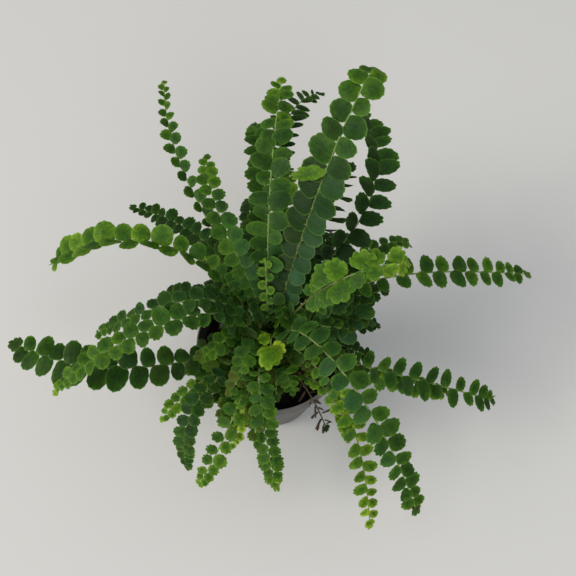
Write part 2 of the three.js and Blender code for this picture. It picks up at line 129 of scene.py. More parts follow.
# route: the root, as degrees and millimetres round the crown; how far out and how high it sets off; the top
# of its bend, as a share of the way out, then sideways and up; and the tip, as degrees, out and up. pairs:
# leaflets on a side of the solid, and crowd: how many for each of those. leaf: the largest one's length.
# lap: their width against the room each has, and slim: the least. start, peak and end: how their size runs
# along the rib, past its bare part. folds: how far the right and the left row fold up. roll: turns the
# whole rib. slant and twist: how a leaflet turns. over: how far the bases cover the rib. loose: how
# unevenly they stand. most: how crowded a place may be. seek: how much they turn to the light, and
# seekFade: how much less at the tip. age: 0 fresh to 1 old. fresh: how much younger the tip is, and
# freshRun: how late that sets in. bloomSheen: the blue-green cast, partly a waxy bloom and partly a painted
# sky reflection. rust: how rusty. brown: how brown the rib is. scales: how chaffy. extra: one more leaflet.
# curl: a rolled or dry tip.
usual = {
    "crowd": 1.5, "lap": 1.12, "slim": 0.45, "bare": 0.22, "start": 0.6, "peak": 0.45, "end": 0.55,
    "folds": (6, 6), "roll": 0, "slant": 12, "twist": 12, "over": 0.7, "loose": 1, "most": 7, "seek": 0.45,
    "seekFade": 0, "shape": "scallop", "tipShape": "lobed", "tipLong": 1.25, "tipWide": 1.2, "tipLift": 0,
    "age": 0.55, "fresh": 0.15, "freshRun": 4, "bloomSheen": 0.25, "rust": 0.04, "brown": 0.35, "scales": 1,
    "slot": "leaf_full",
}
# crown and edge: how high the peat is there. above and buried: how far over and under it a rib starts.
# rightAt and leftAt: where in a pair's room each leaflet stands. fall: how late they grow smaller. spread:
# how unlike they are.
growth = {
    "crown": 91, "crownRadius": 31, "edge": 86, "edgeRadius": 55.3, "above": 2, "buried": 7.5,
    "ribWidth": (1.8, 1.0), "ribThick": (1.5, 0.9), "rightAt": 0.28, "leftAt": 0.72, "lastAt": 0.985,
    "fall": 2.6, "grown": 1.05, "widest": 1.25,
    "spread": {"size": 0.28, "wide": 0.2, "slant": 23, "fold": 30, "twist": 24},
}
fronds = {
    "tall": {"route": ((80, 6), (30, 200), (0.65, 11, 340), (55, 122, 305)), "pairs": 15, "leaf": 16,
        "crowd": 1.25, "lap": 1.14, "bare": 0.04, "start": 0.62, "peak": 0.7, "end": 0.5, "folds": (14, 6),
        "slant": 6, "over": 0.15, "seek": 0.62, "seekFade": 0.75, "shape": "button", "tipShape": "button",
        "age": 1.08, "fresh": 0.8, "freshRun": 2.4, "bloomSheen": 0.7, "brown": 0.75, "scales": 3,
        "slot": "leaf_old",
        "extra": {"side": -1, "share": 0.68, "size": 25, "wide": 12, "slant": -34, "fold": 24, "twist": -5,
                  "age": 0.38, "shape": "fan"}},
    "back": {"route": ((100, 14), (5, 185), (0.35, -4, 245), (87, 165, 220)), "pairs": 13, "leaf": 13.5,
        "crowd": 1.3, "lap": 0.98, "peak": 0.5, "over": 0, "loose": 1.7, "seek": 0.2, "shape": "button",
        "tipShape": "button", "age": 0.62, "fresh": 0.35, "bloomSheen": 0.3, "brown": 0.15},
    "back_low": {"route": ((75, 24), (20, 170), (0.8, -45, 186), (79, 205, 165)), "pairs": 8, "leaf": 13,
        "crowd": 1.8, "lap": 0.42, "bare": 0.5, "end": 0.5, "twist": 60, "seek": 0, "shape": "oblong",
        "age": 0.9},
    "back_left": {"route": ((125, 20), (5, 200), (0.45, -42, 215), (115, 205, 195)), "pairs": 11,
        "leaf": 8.2, "crowd": 1.35, "lap": 0.78, "bare": 0.3, "folds": (38, 38), "fresh": 0.2},
    "back_left_short": {"route": ((118, 12), (0, 180), (0.55, -22, 215), (115, 112, 206)), "pairs": 9,
        "leaf": 10.5, "age": 0.5, "bloomSheen": 0.5, "slot": "leaf_young"},
    "left_small": {"route": ((150, 25), (10, 145), (0.35, 30, 165), (139, 145, 150)), "pairs": 9, "leaf": 10,
        "crowd": 1.9, "age": 0.75, "fresh": 0.05},
    "left_top": {"route": ((150, 18), (0, 225), (0.6, 10, 245), (167, 168, 160)), "pairs": 12, "leaf": 13.9,
        "crowd": 1.4, "lap": 1.12, "start": 0.3, "peak": 0.74, "end": 0.62, "folds": (10, 60), "roll": -25,
        "over": 1, "seek": 0.2, "shape": "button", "tipShape": "button", "age": 0.5, "fresh": 0.3,
        "freshRun": 2},
    "left_arch": {"route": ((178, 16), (0, 215), (0.55, -10, 200), (183, 133, 130)), "pairs": 9, "leaf": 9.5,
        "crowd": 1.75, "lap": 1.05, "seek": 0.2, "age": 0.68, "fresh": 0.3},
    "left_mid": {"route": ((190, 10), (0, 225), (0.7, -8, 192), (196, 173, 110)), "pairs": 12, "leaf": 11.5,
        "crowd": 1.6, "lap": 1.08, "end": 0.36, "seek": 0.3, "age": 0.58, "fresh": 0.3, "freshRun": 3,
        "bloomSheen": 0.3},
    "left_long": {"route": ((215, 24), (15, 130), (0.55, -55, 128), (182, 200, 106)), "pairs": 12,
        "leaf": 18, "crowd": 0.9, "lap": 1.0, "end": 0.6, "over": 0.5, "shape": "button", "age": 0.72,
        "bloomSheen": 0.1, "brown": 1.3, "slot": "leaf_old"},
    "front_left": {"route": ((225, 22), (25, 130), (0.8, 20, 148), (235, 114, 70)), "pairs": 9, "leaf": 10.5,
        "lap": 1.1, "bare": 0.14, "tipLong": 1.7, "tipWide": 1.5, "age": 0.7},
    "front_fork": {"route": ((241, 20), (10, 120), (0.7, -18, 137), (242, 118, 60)), "pairs": 8,
        "leaf": 10.5, "crowd": 1.3, "lap": 0.85, "bare": 0.18, "shape": "fan", "tipLong": 1.7,
        "tipWide": 1.5, "age": 0.4, "slot": "leaf_young"},
    "front_drop": {"route": ((252, 22), (8, 145), (0.45, 15, 155), (272, 105, 60)), "pairs": 9, "leaf": 10.5,
        "lap": 1.1, "end": 0.62, "shape": "fan", "tipLong": 2.7, "tipWide": 1.35, "age": 0.45, "brown": 0.6,
        "slot": "leaf_young"},
    "right_drop": {"route": ((300, 22), (10, 146), (0.4, -40, 150), (301, 152, 45)), "pairs": 11, "leaf": 11,
        "crowd": 1.15, "lap": 0.74, "end": 0.7, "seek": 0.3, "age": 0.3, "brown": 0.8, "slot": "leaf_young"},
    "right_long": {"route": ((310, 12), (-5, 215), (0.62, -2, 212), (310, 170, 85)), "pairs": 13, "leaf": 13,
        "crowd": 1.4, "lap": 0.86, "bare": 0.1, "start": 0.8, "peak": 0.5, "end": 0.7, "over": 0.1,
        "seek": 0.3, "age": 0.55, "fresh": 0.2, "bloomSheen": 0.42, "brown": 0.1,
        "curl": {"radius": 2.4, "turn": 420, "steps": 12, "leaf": 3.4, "wide": 0.9, "shape": "withered",
                 "tone": 0.02}},
    "right_low": {"route": ((340, 18), (10, 100), (0.8, 18, 138), (345, 180, 90)), "pairs": 12, "leaf": 14,
        "crowd": 1.0, "lap": 0.78, "shape": "oblong", "age": 0.6, "bloomSheen": 0.15, "brown": 0.5,
        "curl": {"radius": 3, "turn": 260, "steps": 5, "leaf": 8, "wide": 0.26, "shape": "oblong",
                 "tone": 0.8}},
    "right_under": {"route": ((335, 27), (10, 100), (0.78, 15, 124), (342, 144, 100)), "pairs": 8,
        "leaf": 9.5, "age": 0.35, "slot": "leaf_young"},
    "right_reach": {"route": ((10, 14), (30, 200), (0.5, 5, 180), (15, 217, 110)), "pairs": 13, "leaf": 13,
        "crowd": 1.05, "lap": 0.68, "end": 0.62, "shape": "oblong", "age": 0.5, "bloomSheen": 0.15},
    "back_right": {"route": ((45, 22), (15, 190), (0.45, 78, 215), (64, 172, 190)), "pairs": 13, "leaf": 17,
        "crowd": 1.05, "lap": 1.0, "end": 0.6, "folds": (8, 60), "shape": "oblong", "age": 0.85,
        "fresh": 0.4, "bloomSheen": 0.2},
    "back_right_low": {"route": ((42, 28), (15, 110), (0.8, -15, 155), (34, 136, 125)), "pairs": 8,
        "leaf": 9},
    "bright": {"route": ((22, 8), (10, 185), (0.72, 14, 234), (8, 98, 203)), "pairs": 10, "leaf": 14,
        "crowd": 0.85, "lap": 1.75, "bare": 0.45, "end": 0.45, "roll": 25, "over": 1, "loose": 2.2,
        "shape": "lobed", "age": 0.5, "fresh": 0.35, "bloomSheen": 0.2, "brown": 1, "slot": "leaf_young"},
    "right_turn": {"route": ((0, 24), (14, 123), (0.35, 55, 136), (24, 85, 130)), "pairs": 7, "leaf": 13,
        "crowd": 1.2, "shape": "button", "age": 0.75, "bloomSheen": 0.7, "slot": "leaf_old"},
    "back_twin": {"route": ((108, 26), (5, 165), (0.5, 8, 210), (95, 150, 185)), "pairs": 8, "leaf": 12,
        "bare": 0.35, "folds": (40, 5), "age": 0.6},
    "between": {"route": ((88, 20), (10, 150), (0.65, 0, 200), (82, 112, 180)), "pairs": 7, "leaf": 9,
        "bare": 0.4, "age": 0.35, "bloomSheen": 0.3},
    "behind_tall": {"route": ((60, 16), (25, 125), (0.65, 5, 200), (58, 113, 200)), "pairs": 7, "leaf": 14,
        "crowd": 1.7, "lap": 0.42, "bare": 0.3, "twist": 60, "seek": 0, "age": 0.9},
    "crown_pale": {"route": ((120, 4), (0, 150), (0.6, 0, 185), (95, 50, 185)), "pairs": 6, "leaf": 6,
        "age": 0.3, "bloomSheen": 0.4, "slot": "leaf_young"},
    "crown_leaf": {"route": ((292, 6), (0, 130), (0.7, 0, 149), (272, 23, 134)), "pairs": 2, "leaf": 8,
        "crowd": 1, "bare": 0.5, "start": 0.9, "end": 1.8, "shape": "lobed", "tipLong": 1.5, "tipWide": 1.35,
        "tipLift": 55, "age": 0.1, "fresh": 0, "bloomSheen": 0, "slot": "leaf_young"},
    "left_wisp": {"route": ((165, 28), (10, 120), (0.65, 12, 150), (137, 82, 140)), "pairs": 5, "leaf": 4.5,
        "crowd": 2, "age": 0.2, "slot": "leaf_young"},
    "left_stub": {"route": ((215, 28), (10, 110), (0.65, 0, 132), (219, 105, 104)), "pairs": 7, "leaf": 8,
        "bare": 0.16, "shape": "fan", "age": 0.35, "slot": "leaf_young"},
    "left_pale": {"route": ((203, 27), (0, 115), (0.65, 0, 135), (200, 50, 112)), "pairs": 5, "leaf": 7.5,
        "age": 0.25, "slot": "leaf_young"},
    "front_pale": {"route": ((253, 28), (4, 115), (0.65, 0, 128), (252, 89, 98)), "pairs": 6, "leaf": 8,
        "shape": "fan", "age": 0.25, "slot": "leaf_young"},
    "right_fold": {"route": ((300, 29), (10, 115), (0.65, -15, 125), (308, 98, 88)), "pairs": 6, "leaf": 8,
        "shape": "fan", "age": 0.25, "slot": "leaf_young"},
    "front_rim": {"route": ((263, 30), (10, 115), (0.65, 0, 122), (262, 76, 100)), "pairs": 5, "leaf": 9,
        "shape": "fan", "age": 0.25, "slot": "leaf_young"},
    "front_inner": {"route": ((238, 9), (2, 140), (0.65, 0, 152), (240, 48, 128)), "pairs": 5, "leaf": 9.5},
    "left_inner": {"route": ((196, 16), (2, 135), (0.65, 0, 150), (208, 56, 128)), "pairs": 5, "leaf": 9},
    "left_fill": {"route": ((168, 22), (10, 145), (0.65, 0, 155), (160, 88, 125)), "pairs": 6, "leaf": 10,
        "age": 0.85, "slot": "leaf_old"},
    "back_fill": {"route": ((95, 26), (10, 140), (0.65, 0, 160), (100, 110, 140)), "pairs": 6, "leaf": 11,
        "age": 0.85, "slot": "leaf_old"},
    "back_left_fill": {"route": ((135, 28), (10, 125), (0.65, 0, 150), (128, 115, 120)), "pairs": 6,
        "leaf": 10, "age": 0.85, "slot": "leaf_old"},
    "right_fill": {"route": ((20, 27), (10, 125), (0.65, 0, 130), (8, 85, 106)), "pairs": 6, "leaf": 11,
        "age": 0.85, "slot": "leaf_old"},
    "right_fill_low": {"route": ((355, 29), (10, 115), (0.65, 0, 118), (350, 78, 100)), "pairs": 5,
        "leaf": 10, "age": 0.85, "slot": "leaf_old"},
    "front_fill": {"route": ((285, 24), (10, 125), (0.65, 0, 132), (290, 50, 112)), "pairs": 5, "leaf": 9},
}


def onCircle(degrees, radius):
    return Vector((radius * math.cos(math.radians(degrees)), radius * math.sin(math.radians(degrees)), 0))


def turnedTo(first, second, degrees):
    angle = math.radians(degrees)
    return first * math.cos(angle) + second * math.sin(angle)


def peatTop(radius):
    slope = (radius - growth["crownRadius"]) / (growth["edgeRadius"] - growth["crownRadius"])
    return lerp(growth["crown"], growth["edge"], max(0, slope))


def alongRoute(points, t):
    a, b, c, d = points
    s = 1 - t
    return a * s ** 3 + b * (3 * s * s * t) + c * (3 * s * t * t) + d * t ** 3


def layOut(name, spec):
    frond = {**usual, **spec, "name": name}
    (degrees, ring), (lean, rise), (out, sway, arch), (toward, reach, height) = frond["route"]
    root = onCircle(degrees, ring) + upward * (peatTop(ring) + growth["above"])
    heading = onCircle(toward, 1)
    setOff = root + heading * lean
    setOff.z = rise
    bend = heading * (out * reach) + heading.cross(upward) * sway + upward * arch
    tip = heading * reach + upward * height
    frond["route"] = (root, setOff, bend, tip)
    walked = [0.0]
    last = root
    for i in range(1, 201):
        point = alongRoute(frond["route"], i / 200)
        walked.append(walked[-1] + (point - last).length)
        last = point
    frond["walked"] = walked
    frond["length"] = walked[-1]
    across = tip - root
    across.z = 0
    frond["right"] = across.normalized().cross(upward)
    return frond


def ribAt(frond, share):
    walked = frond["walked"]
    goal = share * walked[-1]
    i = min(max(bisect_right(walked, goal) - 1, 0), len(walked) - 2)
    t = (i + (goal - walked[i]) / (walked[i + 1] - walked[i])) / (len(walked) - 1)
    step = 0.0001
    along = alongRoute(frond["route"], min(1, t + step)) - alongRoute(frond["route"], max(0, t - step))
    along.normalize()
    right = (frond["right"] - along * frond["right"].dot(along)).normalized()
    right = turnedTo(right, along.cross(right), frond["roll"])
    return {
        "at": alongRoute(frond["route"], t), "along": along, "right": right, "up": right.cross(along),
        "width": lerp(*growth["ribWidth"], share), "thick": lerp(*growth["ribThick"], share),
    }


def sizeAt(frond, share):
    if share < frond["peak"]:
        return lerp(frond["start"], 1, math.sin(math.pi / 2 * share / frond["peak"]))
    return lerp(1, frond["end"], ((share - frond["peak"]) / (1 - frond["peak"])) ** growth["fall"])


def vary(draw, value, spread):
    return value + spread * draw.uniform(-0.5, 0.5)


# where a frond's leaflets stand, how large they are and how they are turned
def placeLeaflets(frond, draw):
    spread = {key: value * frond["loose"] for key, value in growth["spread"].items()}
    pairs = max(3, round(frond["pairs"] * frond["crowd"]))
    steps = [sizeAt(frond, (i + 0.5) / pairs) for i in range(pairs)]
    room = frond["length"] * (growth["lastAt"] - frond["bare"]) / sum(steps)  # for the largest, along the rib
    wide = min(growth["widest"], max(frond["slim"], room * frond["lap"] / frond["leaf"]))
    places = []
    walked = 0
    for step in steps:
        for side in (1, -1):
            middle = (walked + step * growth["rightAt" if side > 0 else "leftAt"]) / sum(steps)
            size = frond["leaf"] * growth["grown"] * sizeAt(frond, middle) * vary(draw, 1, spread["size"])
            places.append({
                "side": side, "share": lerp(frond["bare"], growth["lastAt"], middle), "size": size,
                "wide": size * wide * vary(draw, 1, spread["wide"]),
                "slant": vary(draw, frond["slant"], spread["slant"]),
                "fold": vary(draw, frond["folds"][side < 0], spread["fold"]),
                "twist": vary(draw, frond["twist"], spread["twist"]),
            })
        walked += step
    last = frond["leaf"] * frond["end"]
    back = 0.7 * last * (frond["tipLong"] - 1) / frond["length"]  # a long one starts further back
    if "extra" in frond:
        places.append(frond["extra"])
    places.append({"side": 0, "share": 1 - back, "size": last * frond["tipLong"],
                   "wide": last * frond["tipWide"], "slant": 0, "fold": 0, "twist": 0})
    return places


# a leaflet's joint and directions: axis out along it, edge across it, and face off its upper side
def stance(frond, place, lift=0):
    rib = ribAt(frond, place["share"])
    side = place["side"]
    sideways = rib["right"] * (side or 1)
    fold = place["fold"] + lift
    outwards = turnedTo(sideways, rib["up"], fold)
    flatUp = turnedTo(rib["up"], sideways, -fold)
    axis = turnedTo(outwards, rib["along"], place["slant"])
    forward = turnedTo(rib["along"], outwards, -place["slant"])
    if side == 0:
        axis = turnedTo(rib["along"], rib["up"], frond["tipLift"])
        flatUp = turnedTo(rib["up"], rib["along"], -frond["tipLift"])
        forward = -rib["right"]
    edge = turnedTo(forward, flatUp, place["twist"])
    face = turnedTo(flatUp, forward, -place["twist"])
    hand = 1 if edge.dot(face.cross(axis)) > 0 else -1
    seek = frond["seek"] * (1 - frond["seekFade"] * place["share"])
    face = face.lerp((upward - axis * axis.dot(upward)).normalized(), seek)  # blades turn to the light
    edge = face.cross(axis).normalized() * hand
    face = axis.cross(edge) * hand
    joint = rib["at"]
    if side:
        joint = joint + sideways * (rib["width"] * lerp(0.4, 0.1, frond["over"]))
        joint += rib["up"] * (rib["thick"] * 0.75 * frond["over"])
    return {**place, "joint": joint, "axis": axis, "edge": edge, "face": face}


# room already taken, in cells, so that a leaflet can rise or sink past what is there
# lifts: degrees, tried in turn. probes: points on a blade, as shares of its length and width.
roomy = {
    "cell": 2.4, "lifts": (0, 12, -12, 24, -24, 36),
    "probes": ((0.35, 0.3), (0.35, -0.3), (0.6, 0), (0.7, 0.38), (0.7, -0.38), (0.95, 0.18), (0.95, -0.18)),
}
taken = {}


def cellAt(point):
    return tuple(int(value // roomy["cell"]) for value in point)


def settle(frond, place):
    best = None
    for lift in roomy["lifts"]:
        leaf = stance(frond, place, lift)
        cells = []
        for out, forth in roomy["probes"]:
            point = leaf["joint"] + leaf["axis"] * (leaf["size"] * out)
            point += leaf["edge"] * (leaf["wide"] * forth)
            point -= leaf["face"] * (bladeMake["droop"] * leaf["size"] * out * out)
            cells.append(cellAt(point))
        met = sum(taken.get(cell, frond["name"]) != frond["name"] for cell in cells)
        if best is None or met < best[0]:
            best = (met, leaf, cells)
        if met == 0:
            break
    for cell in best[2]:
        taken.setdefault(cell, frond["name"])
    return best[1], best[0]


# blades: a few shapes one unit long, from which every leaflet is grown

# spread: half the angle at the base, in degrees. full: 1 for a round end, less for a square one. teeth:
# scallops, and tooth: their depth. steps: edges in each. apex: how much the end is drawn out. uneven: how
# much fuller the side towards the tip is. dome and trough: relief along the midrib. ripple: waves of the
# margin. cup: how far the sides may bend. material: where it isn't the skin of a living blade.
usualBlade = {"teeth": 9, "steps": 3, "uneven": 0.1, "dome": 0.03, "trough": 0.1, "ripple": 0.04, "cup": 0.3}
bladeShapes = {
    "button": {"spread": 97, "full": 0.66, "tooth": 0.05, "apex": 0.02, "uneven": 0.06, "dome": 0.04,
               "trough": 0.09, "cup": 0.28},
    "scallop": {"spread": 95, "full": 0.62, "teeth": 8, "tooth": 0.085, "apex": 0.03, "ripple": 0.05},
    "oblong": {"spread": 92, "full": 0.7, "tooth": 0.065, "apex": 0.12, "uneven": 0.08},
    "fan": {"spread": 74, "full": 0.45, "teeth": 6, "tooth": 0.13, "steps": 4, "apex": 0, "dome": 0.04,
            "ripple": 0.07, "cup": 0.35},
    "withered": {"spread": 60, "full": 0.5, "teeth": 5, "tooth": 0.15, "steps": 2, "apex": 0.3, "dome": 0,
                 "trough": 0.12, "ripple": 0.12, "cup": 0.5, "material": 2},
    "lobed": {"spread": 72, "full": 0.4, "teeth": 5, "tooth": 0.2, "steps": 5, "apex": 0.1, "uneven": 0,
              "ripple": 0.07},
}
# ring and middle: where a blade's inner edges and its middle lie. clear: room over the underside. sunk: how
# far the joint reaches into the rib. scalloped: the share of the margin that has scallops. waves: radians
# of ripple on each side. cups, skews and depths: how unlike the variants are.
bladeMake = {
    "variants": 6, "ring": 0.6, "middle": 0.46, "thick": 0.04, "clear": 0.005, "sunk": 0.05, "droop": 0.09,
    "joint": 0.06, "lean": 0.12, "scalloped": 0.86, "waves": 7, "cups": (-0.6, 1), "skews": (-0.5, 0.5),
    "depths": (0.7, 1.3), "seed": 7,
}


def makeBlade(name, shape, draw):
    bm = bmesh.new()
    form = bm.verts.layers.float_vector.new("bladeForm")
    count = shape["teeth"] * shape["steps"] + 4
    bmesh.ops.create_circle(bm, cap_ends=True, segments=count, radius=1)
    lowerFace = bm.faces[:][0]
    lowerFace.normal_flip()
    copied = bmesh.ops.duplicate(bm, geom=[lowerFace])["geom"]
    upperFace = next(item for item in copied if isinstance(item, bmesh.types.BMFace))
    upperFace.normal_flip()
    bmesh.ops.inset_region(bm, faces=[upperFace], thickness=1 - bladeMake["ring"], use_boundary=True,
                           use_even_offset=False)
    bmesh.ops.poke(bm, faces=[upperFace])
    for face in bmesh.ops.poke(bm, faces=[lowerFace])["faces"]:
        face.material_index = 1
    phase = draw.uniform(0, 6)
    lean = draw.uniform(-bladeMake["lean"], bladeMake["lean"])
    cup = shape["cup"] * draw.uniform(*bladeMake["cups"])
    skew = draw.uniform(*bladeMake["skews"])
    depths = [shape["tooth"] * draw.uniform(*bladeMake["depths"]) for _ in range(shape["teeth"] + 1)]
    for vertex in bm.verts:
        ring = min(1, vertex.co.length)
        # order runs from -1 to 1 round the margin, with the joint at both ends
        order = math.atan2(vertex.co.y, vertex.co.x) / math.pi
        angle = math.radians(shape["spread"]) * order
        reach = max(0, math.cos(math.radians(90) * order)) ** shape["full"]
        reach *= 1 + shape["apex"] * (math.cos(angle) ** 10 - 0.4)
        if abs(order) < bladeMake["scalloped"]:
            along = (order / bladeMake["scalloped"] + 1) / 2 * shape["teeth"]
            along += skew * math.sin(math.pi * along / shape["teeth"])
            depth = depths[int(round(along)) if abs(along - round(along)) < 0.4 else int(along)]
            notch = max(0, 1 - abs(along - round(along)) * shape["steps"] * 0.9)
            reach *= 1 - depth * notch * (1 if ring > 0.99 else 0.4)
        x = reach * math.cos(angle)
        y = reach * math.sin(angle) * (1 + shape["uneven"] * (1 if order > 0 else -1))
        x = lerp(bladeMake["middle"], x, ring)
        y = lerp(0, y, ring)
        if ring > 0.99:  # the joint is broad
            y += bladeMake["joint"] * (1 if y > 0 else -1) * (1 - min(1, x * 4))
        z = shape["dome"] * (1 - ring ** 2) - bladeMake["droop"] * x * x + lean * y - cup * y * y
        z += shape["ripple"] * math.sin(bladeMake["waves"] * order + phase) * ring ** 2 * min(1, x * 3)
        if ring < 0.99:
            z += shape["trough"] * (abs(math.sin(angle)) - 0.5 if ring > 0.1 else -0.3)
        vertex[form] = (x, y, ring)
        vertex.co = (lerp(-bladeMake["sunk"], 1, x), y, z)
    halfWidth = max(abs(vertex.co.y) for vertex in bm.verts)
    bmesh.ops.scale(bm, vec=(1, 0.5 / halfWidth, 1), verts=bm.verts[:])
    underMiddle = next(v for v in bm.verts if v[form][2] < 0.1 and v.link_faces[0].material_index)
    lowest = underMiddle.co.z - bladeMake["thick"]
    for vertex in bm.verts:  # the underside stays clear of the grooves in the upper side
        if 0.1 < vertex[form][2] < 0.99:
            around = [edge.other_vert(vertex) for edge in vertex.link_edges]
            margin = next(other for other in around if other[form][2] > 0.99)
            fromMargin = vertex.co.z - bladeMake["clear"] - bladeMake["ring"] * margin.co.z
            lowest = min(lowest, fromMargin / (1 - bladeMake["ring"]))
    underMiddle.co.z = lowest
    bmesh.ops.reverse_faces(bm, faces=list(underMiddle.link_faces))
    bmesh.ops.remove_doubles(bm, verts=bm.verts[:], dist=1e-5)
    bmesh.ops.recalc_face_normals(bm, faces=bm.faces[:])
    for face in bm.faces:
        face.smooth = True
        face.material_index = shape.get("material", face.material_index)
    for edge in bm.edges:
        edge.smooth = len({face.material_index for face in edge.link_faces}) == 1  # the margin is crisp
    plain = meshFrom(bm, name)
    plain.attributes.new("leafState", "FLOAT_VECTOR", "POINT")
    mirrored = plain.copy()
    mirrored.flip_normals()
    return plain, mirrored


bladeDraw = random.Random(bladeMake["seed"])
blades = {}
for kind, shape in bladeShapes.items():
    shape = {**usualBlade, **shape}
    blades[kind] = [makeBlade(kind + str(i), shape, bladeDraw) for i in range(bladeMake["variants"])]
print("blades done, faces in each:", {kind: len(made[0][0].polygons) for kind, made in blades.items()})


# chaffy scale: a thin three-sided fleck, one unit long
def makeScale():
    bm = bmesh.new()
    bm.verts.layers.float_vector.new("bladeForm")
    bmesh.ops.create_cone(bm, cap_ends=True, segments=3, radius1=0.14, radius2=0.01, depth=1)
    bmesh.ops.translate(bm, verts=bm.verts[:], vec=(0, 0, 0.4))
    for face in bm.faces:
        face.material_index = 3
    mesh = meshFrom(bm, "chaff")
    mesh.attributes.new("leafState", "FLOAT_VECTOR", "POINT")
    return mesh


chaff = makeScale()


def addCopy(bm, mesh, matrix, state):
    copy = mesh.copy()
    copy.transform(matrix)
    copy.attributes["leafState"].data.foreach_set("vector", list(state) * len(copy.vertices))
    bm.from_mesh(copy)
    bpy.data.meshes.remove(copy)


def placing(origin, x, y, z):
    turned = Matrix((x, y, z)).transposed()
    return Matrix.Translation(origin) @ turned.to_4x4()


def addScale(bm, origin, point, size, state):
    side = point.orthogonal().normalized()
    addCopy(bm, chaff, placing(origin, side * size, point.cross(side) * (size * 0.5), point * size), state)


# materials of the living plant

leafLook = {
    "ages": ((0.0, "#93ac2b"), (0.22, "#567a18"), (0.45, "#33570e"), (0.7, "#1e3d0b"), (1.0, "#102506")),
    # waxySheen: the bloom's blue-green, partly wax and partly a painted sky reflection
    "waxySheen": "#345e3d", "rust": "#6a6428", "vein": "#4f7827", "margin": "#658740", "under": "#48652a",
    "veins": 8, "mottle": 2.4, "patch": 15, "rough": 0.38, "roughUnder": 0.58,
}


# Fern blade: thin living tissue under a satin cuticle, so it shines softly and lets a little light in.
# Leaflets are paler along the veins and the margin, and old ones carry a blue bloom that is partly wax
# and partly a painted sky reflection.
def makeLeafSkin(name, isUnder):
    skin = newMaterial(name)
    state = addNode(skin, "Attribute", attribute_name="leafState", output="Vector")
    form = addNode(skin, "Attribute", attribute_name="bladeForm", output="Vector")
    age, bloomSheen, rust = (addNode(skin, "SeparateXYZ", {0: state}, part) for part in range(3))
    x, y, ring = (addNode(skin, "SeparateXYZ", {0: form}, part) for part in range(3))
    places = addNode(skin, "TexCoord", output="Object")
    mottle = addNode(skin, "TexNoise", {
        "Vector": places, "Scale": 1 / (leafLook["mottle"] * mm), "Detail": 3.0})
    patch = addNode(skin, "TexNoise", {
        "Vector": places, "Scale": 1 / (leafLook["patch"] * mm), "Detail": 1.0})
    age = addNode(skin, "Math", {0: age, 1: -0.16}, operation="ADD")
    for source, share in ((mottle, 0.5), (ring, -0.3), (patch, 0.3)):
        age = addNode(skin, "Math", {0: source, 1: share, 2: age}, operation="MULTIPLY_ADD")
    colour = addNode(skin, "ValToRGB", {"Fac": age}, stops=leafLook["ages"])
    # the bloom tint is partly wax and partly a painted sky reflection
    waxSheen = addNode(skin, "Math", {0: patch, 1: 1.1, 2: 0.1}, operation="MULTIPLY_ADD")
    waxSheen = addNode(skin, "Math", {0: waxSheen, 1: bloomSheen}, operation="MULTIPLY", use_clamp=True)
    # veins leave the midrib at a slant and end between the scallops
    away = addNode(skin, "Math", {0: y}, operation="ABSOLUTE")
    run = addNode(skin, "Math", {0: away, 1: -0.8, 2: x}, operation="MULTIPLY_ADD")
    run = addNode(skin, "Math", {0: run, 1: leafLook["veins"]}, operation="MULTIPLY")
    run = addNode(skin, "Math", {0: run, 1: 0.5}, operation="PINGPONG")
    sideVein = addNode(skin, "MapRange", {"Value": run, "From Min": 0.33, "From Max": 0.5, "To Max": 0.5})
    midVein = addNode(skin, "MapRange", {"Value": away, "From Max": 0.022, "To Min": 1.0, "To Max": 0.0})
    vein = addNode(skin, "Math", {0: sideVein, 1: midVein}, operation="MAXIMUM")
    paleVein = addNode(skin, "Math", {0: vein, 1: 0.18}, operation="MULTIPLY")
    margin = addNode(skin, "MapRange", {"Value": ring, "From Min": 0.9, "To Max": 0.45})
    layers = [(waxSheen, "waxySheen"), (rust, "rust"), (paleVein, "vein"), (margin, "margin")]
    if isUnder:
        layers.append((0.5, "under"))
    for share, tint in layers:
        colour = addNode(skin, "Mix", {0: share, 6: colour, 7: leafLook[tint]}, 2, data_type="RGBA")
    relief = addNode(skin, "Math", {0: vein, 1: -0.45, 2: mottle}, operation="MULTIPLY_ADD")
    bump = addNode(skin, "Bump", {"Height": relief, "Strength": 0.6, "Distance": 0.4 * mm})
    rough = leafLook["roughUnder" if isUnder else "rough"]
    rough = addNode(skin, "Math", {0: mottle, 1: 0.25, 2: rough}, operation="MULTIPLY_ADD")
    surface = addNode(skin, "BsdfPrincipled", {
        "Base Color": colour, "Roughness": rough, "Normal": bump, "Specular IOR Level": 0.1,
        "Subsurface Weight": 0.1, "Subsurface Radius": (0.4, 1.0, 0.15), "Subsurface Scale": 0.6 * mm})
    addNode(skin, "OutputMaterial", {"Surface": surface})
    return skin


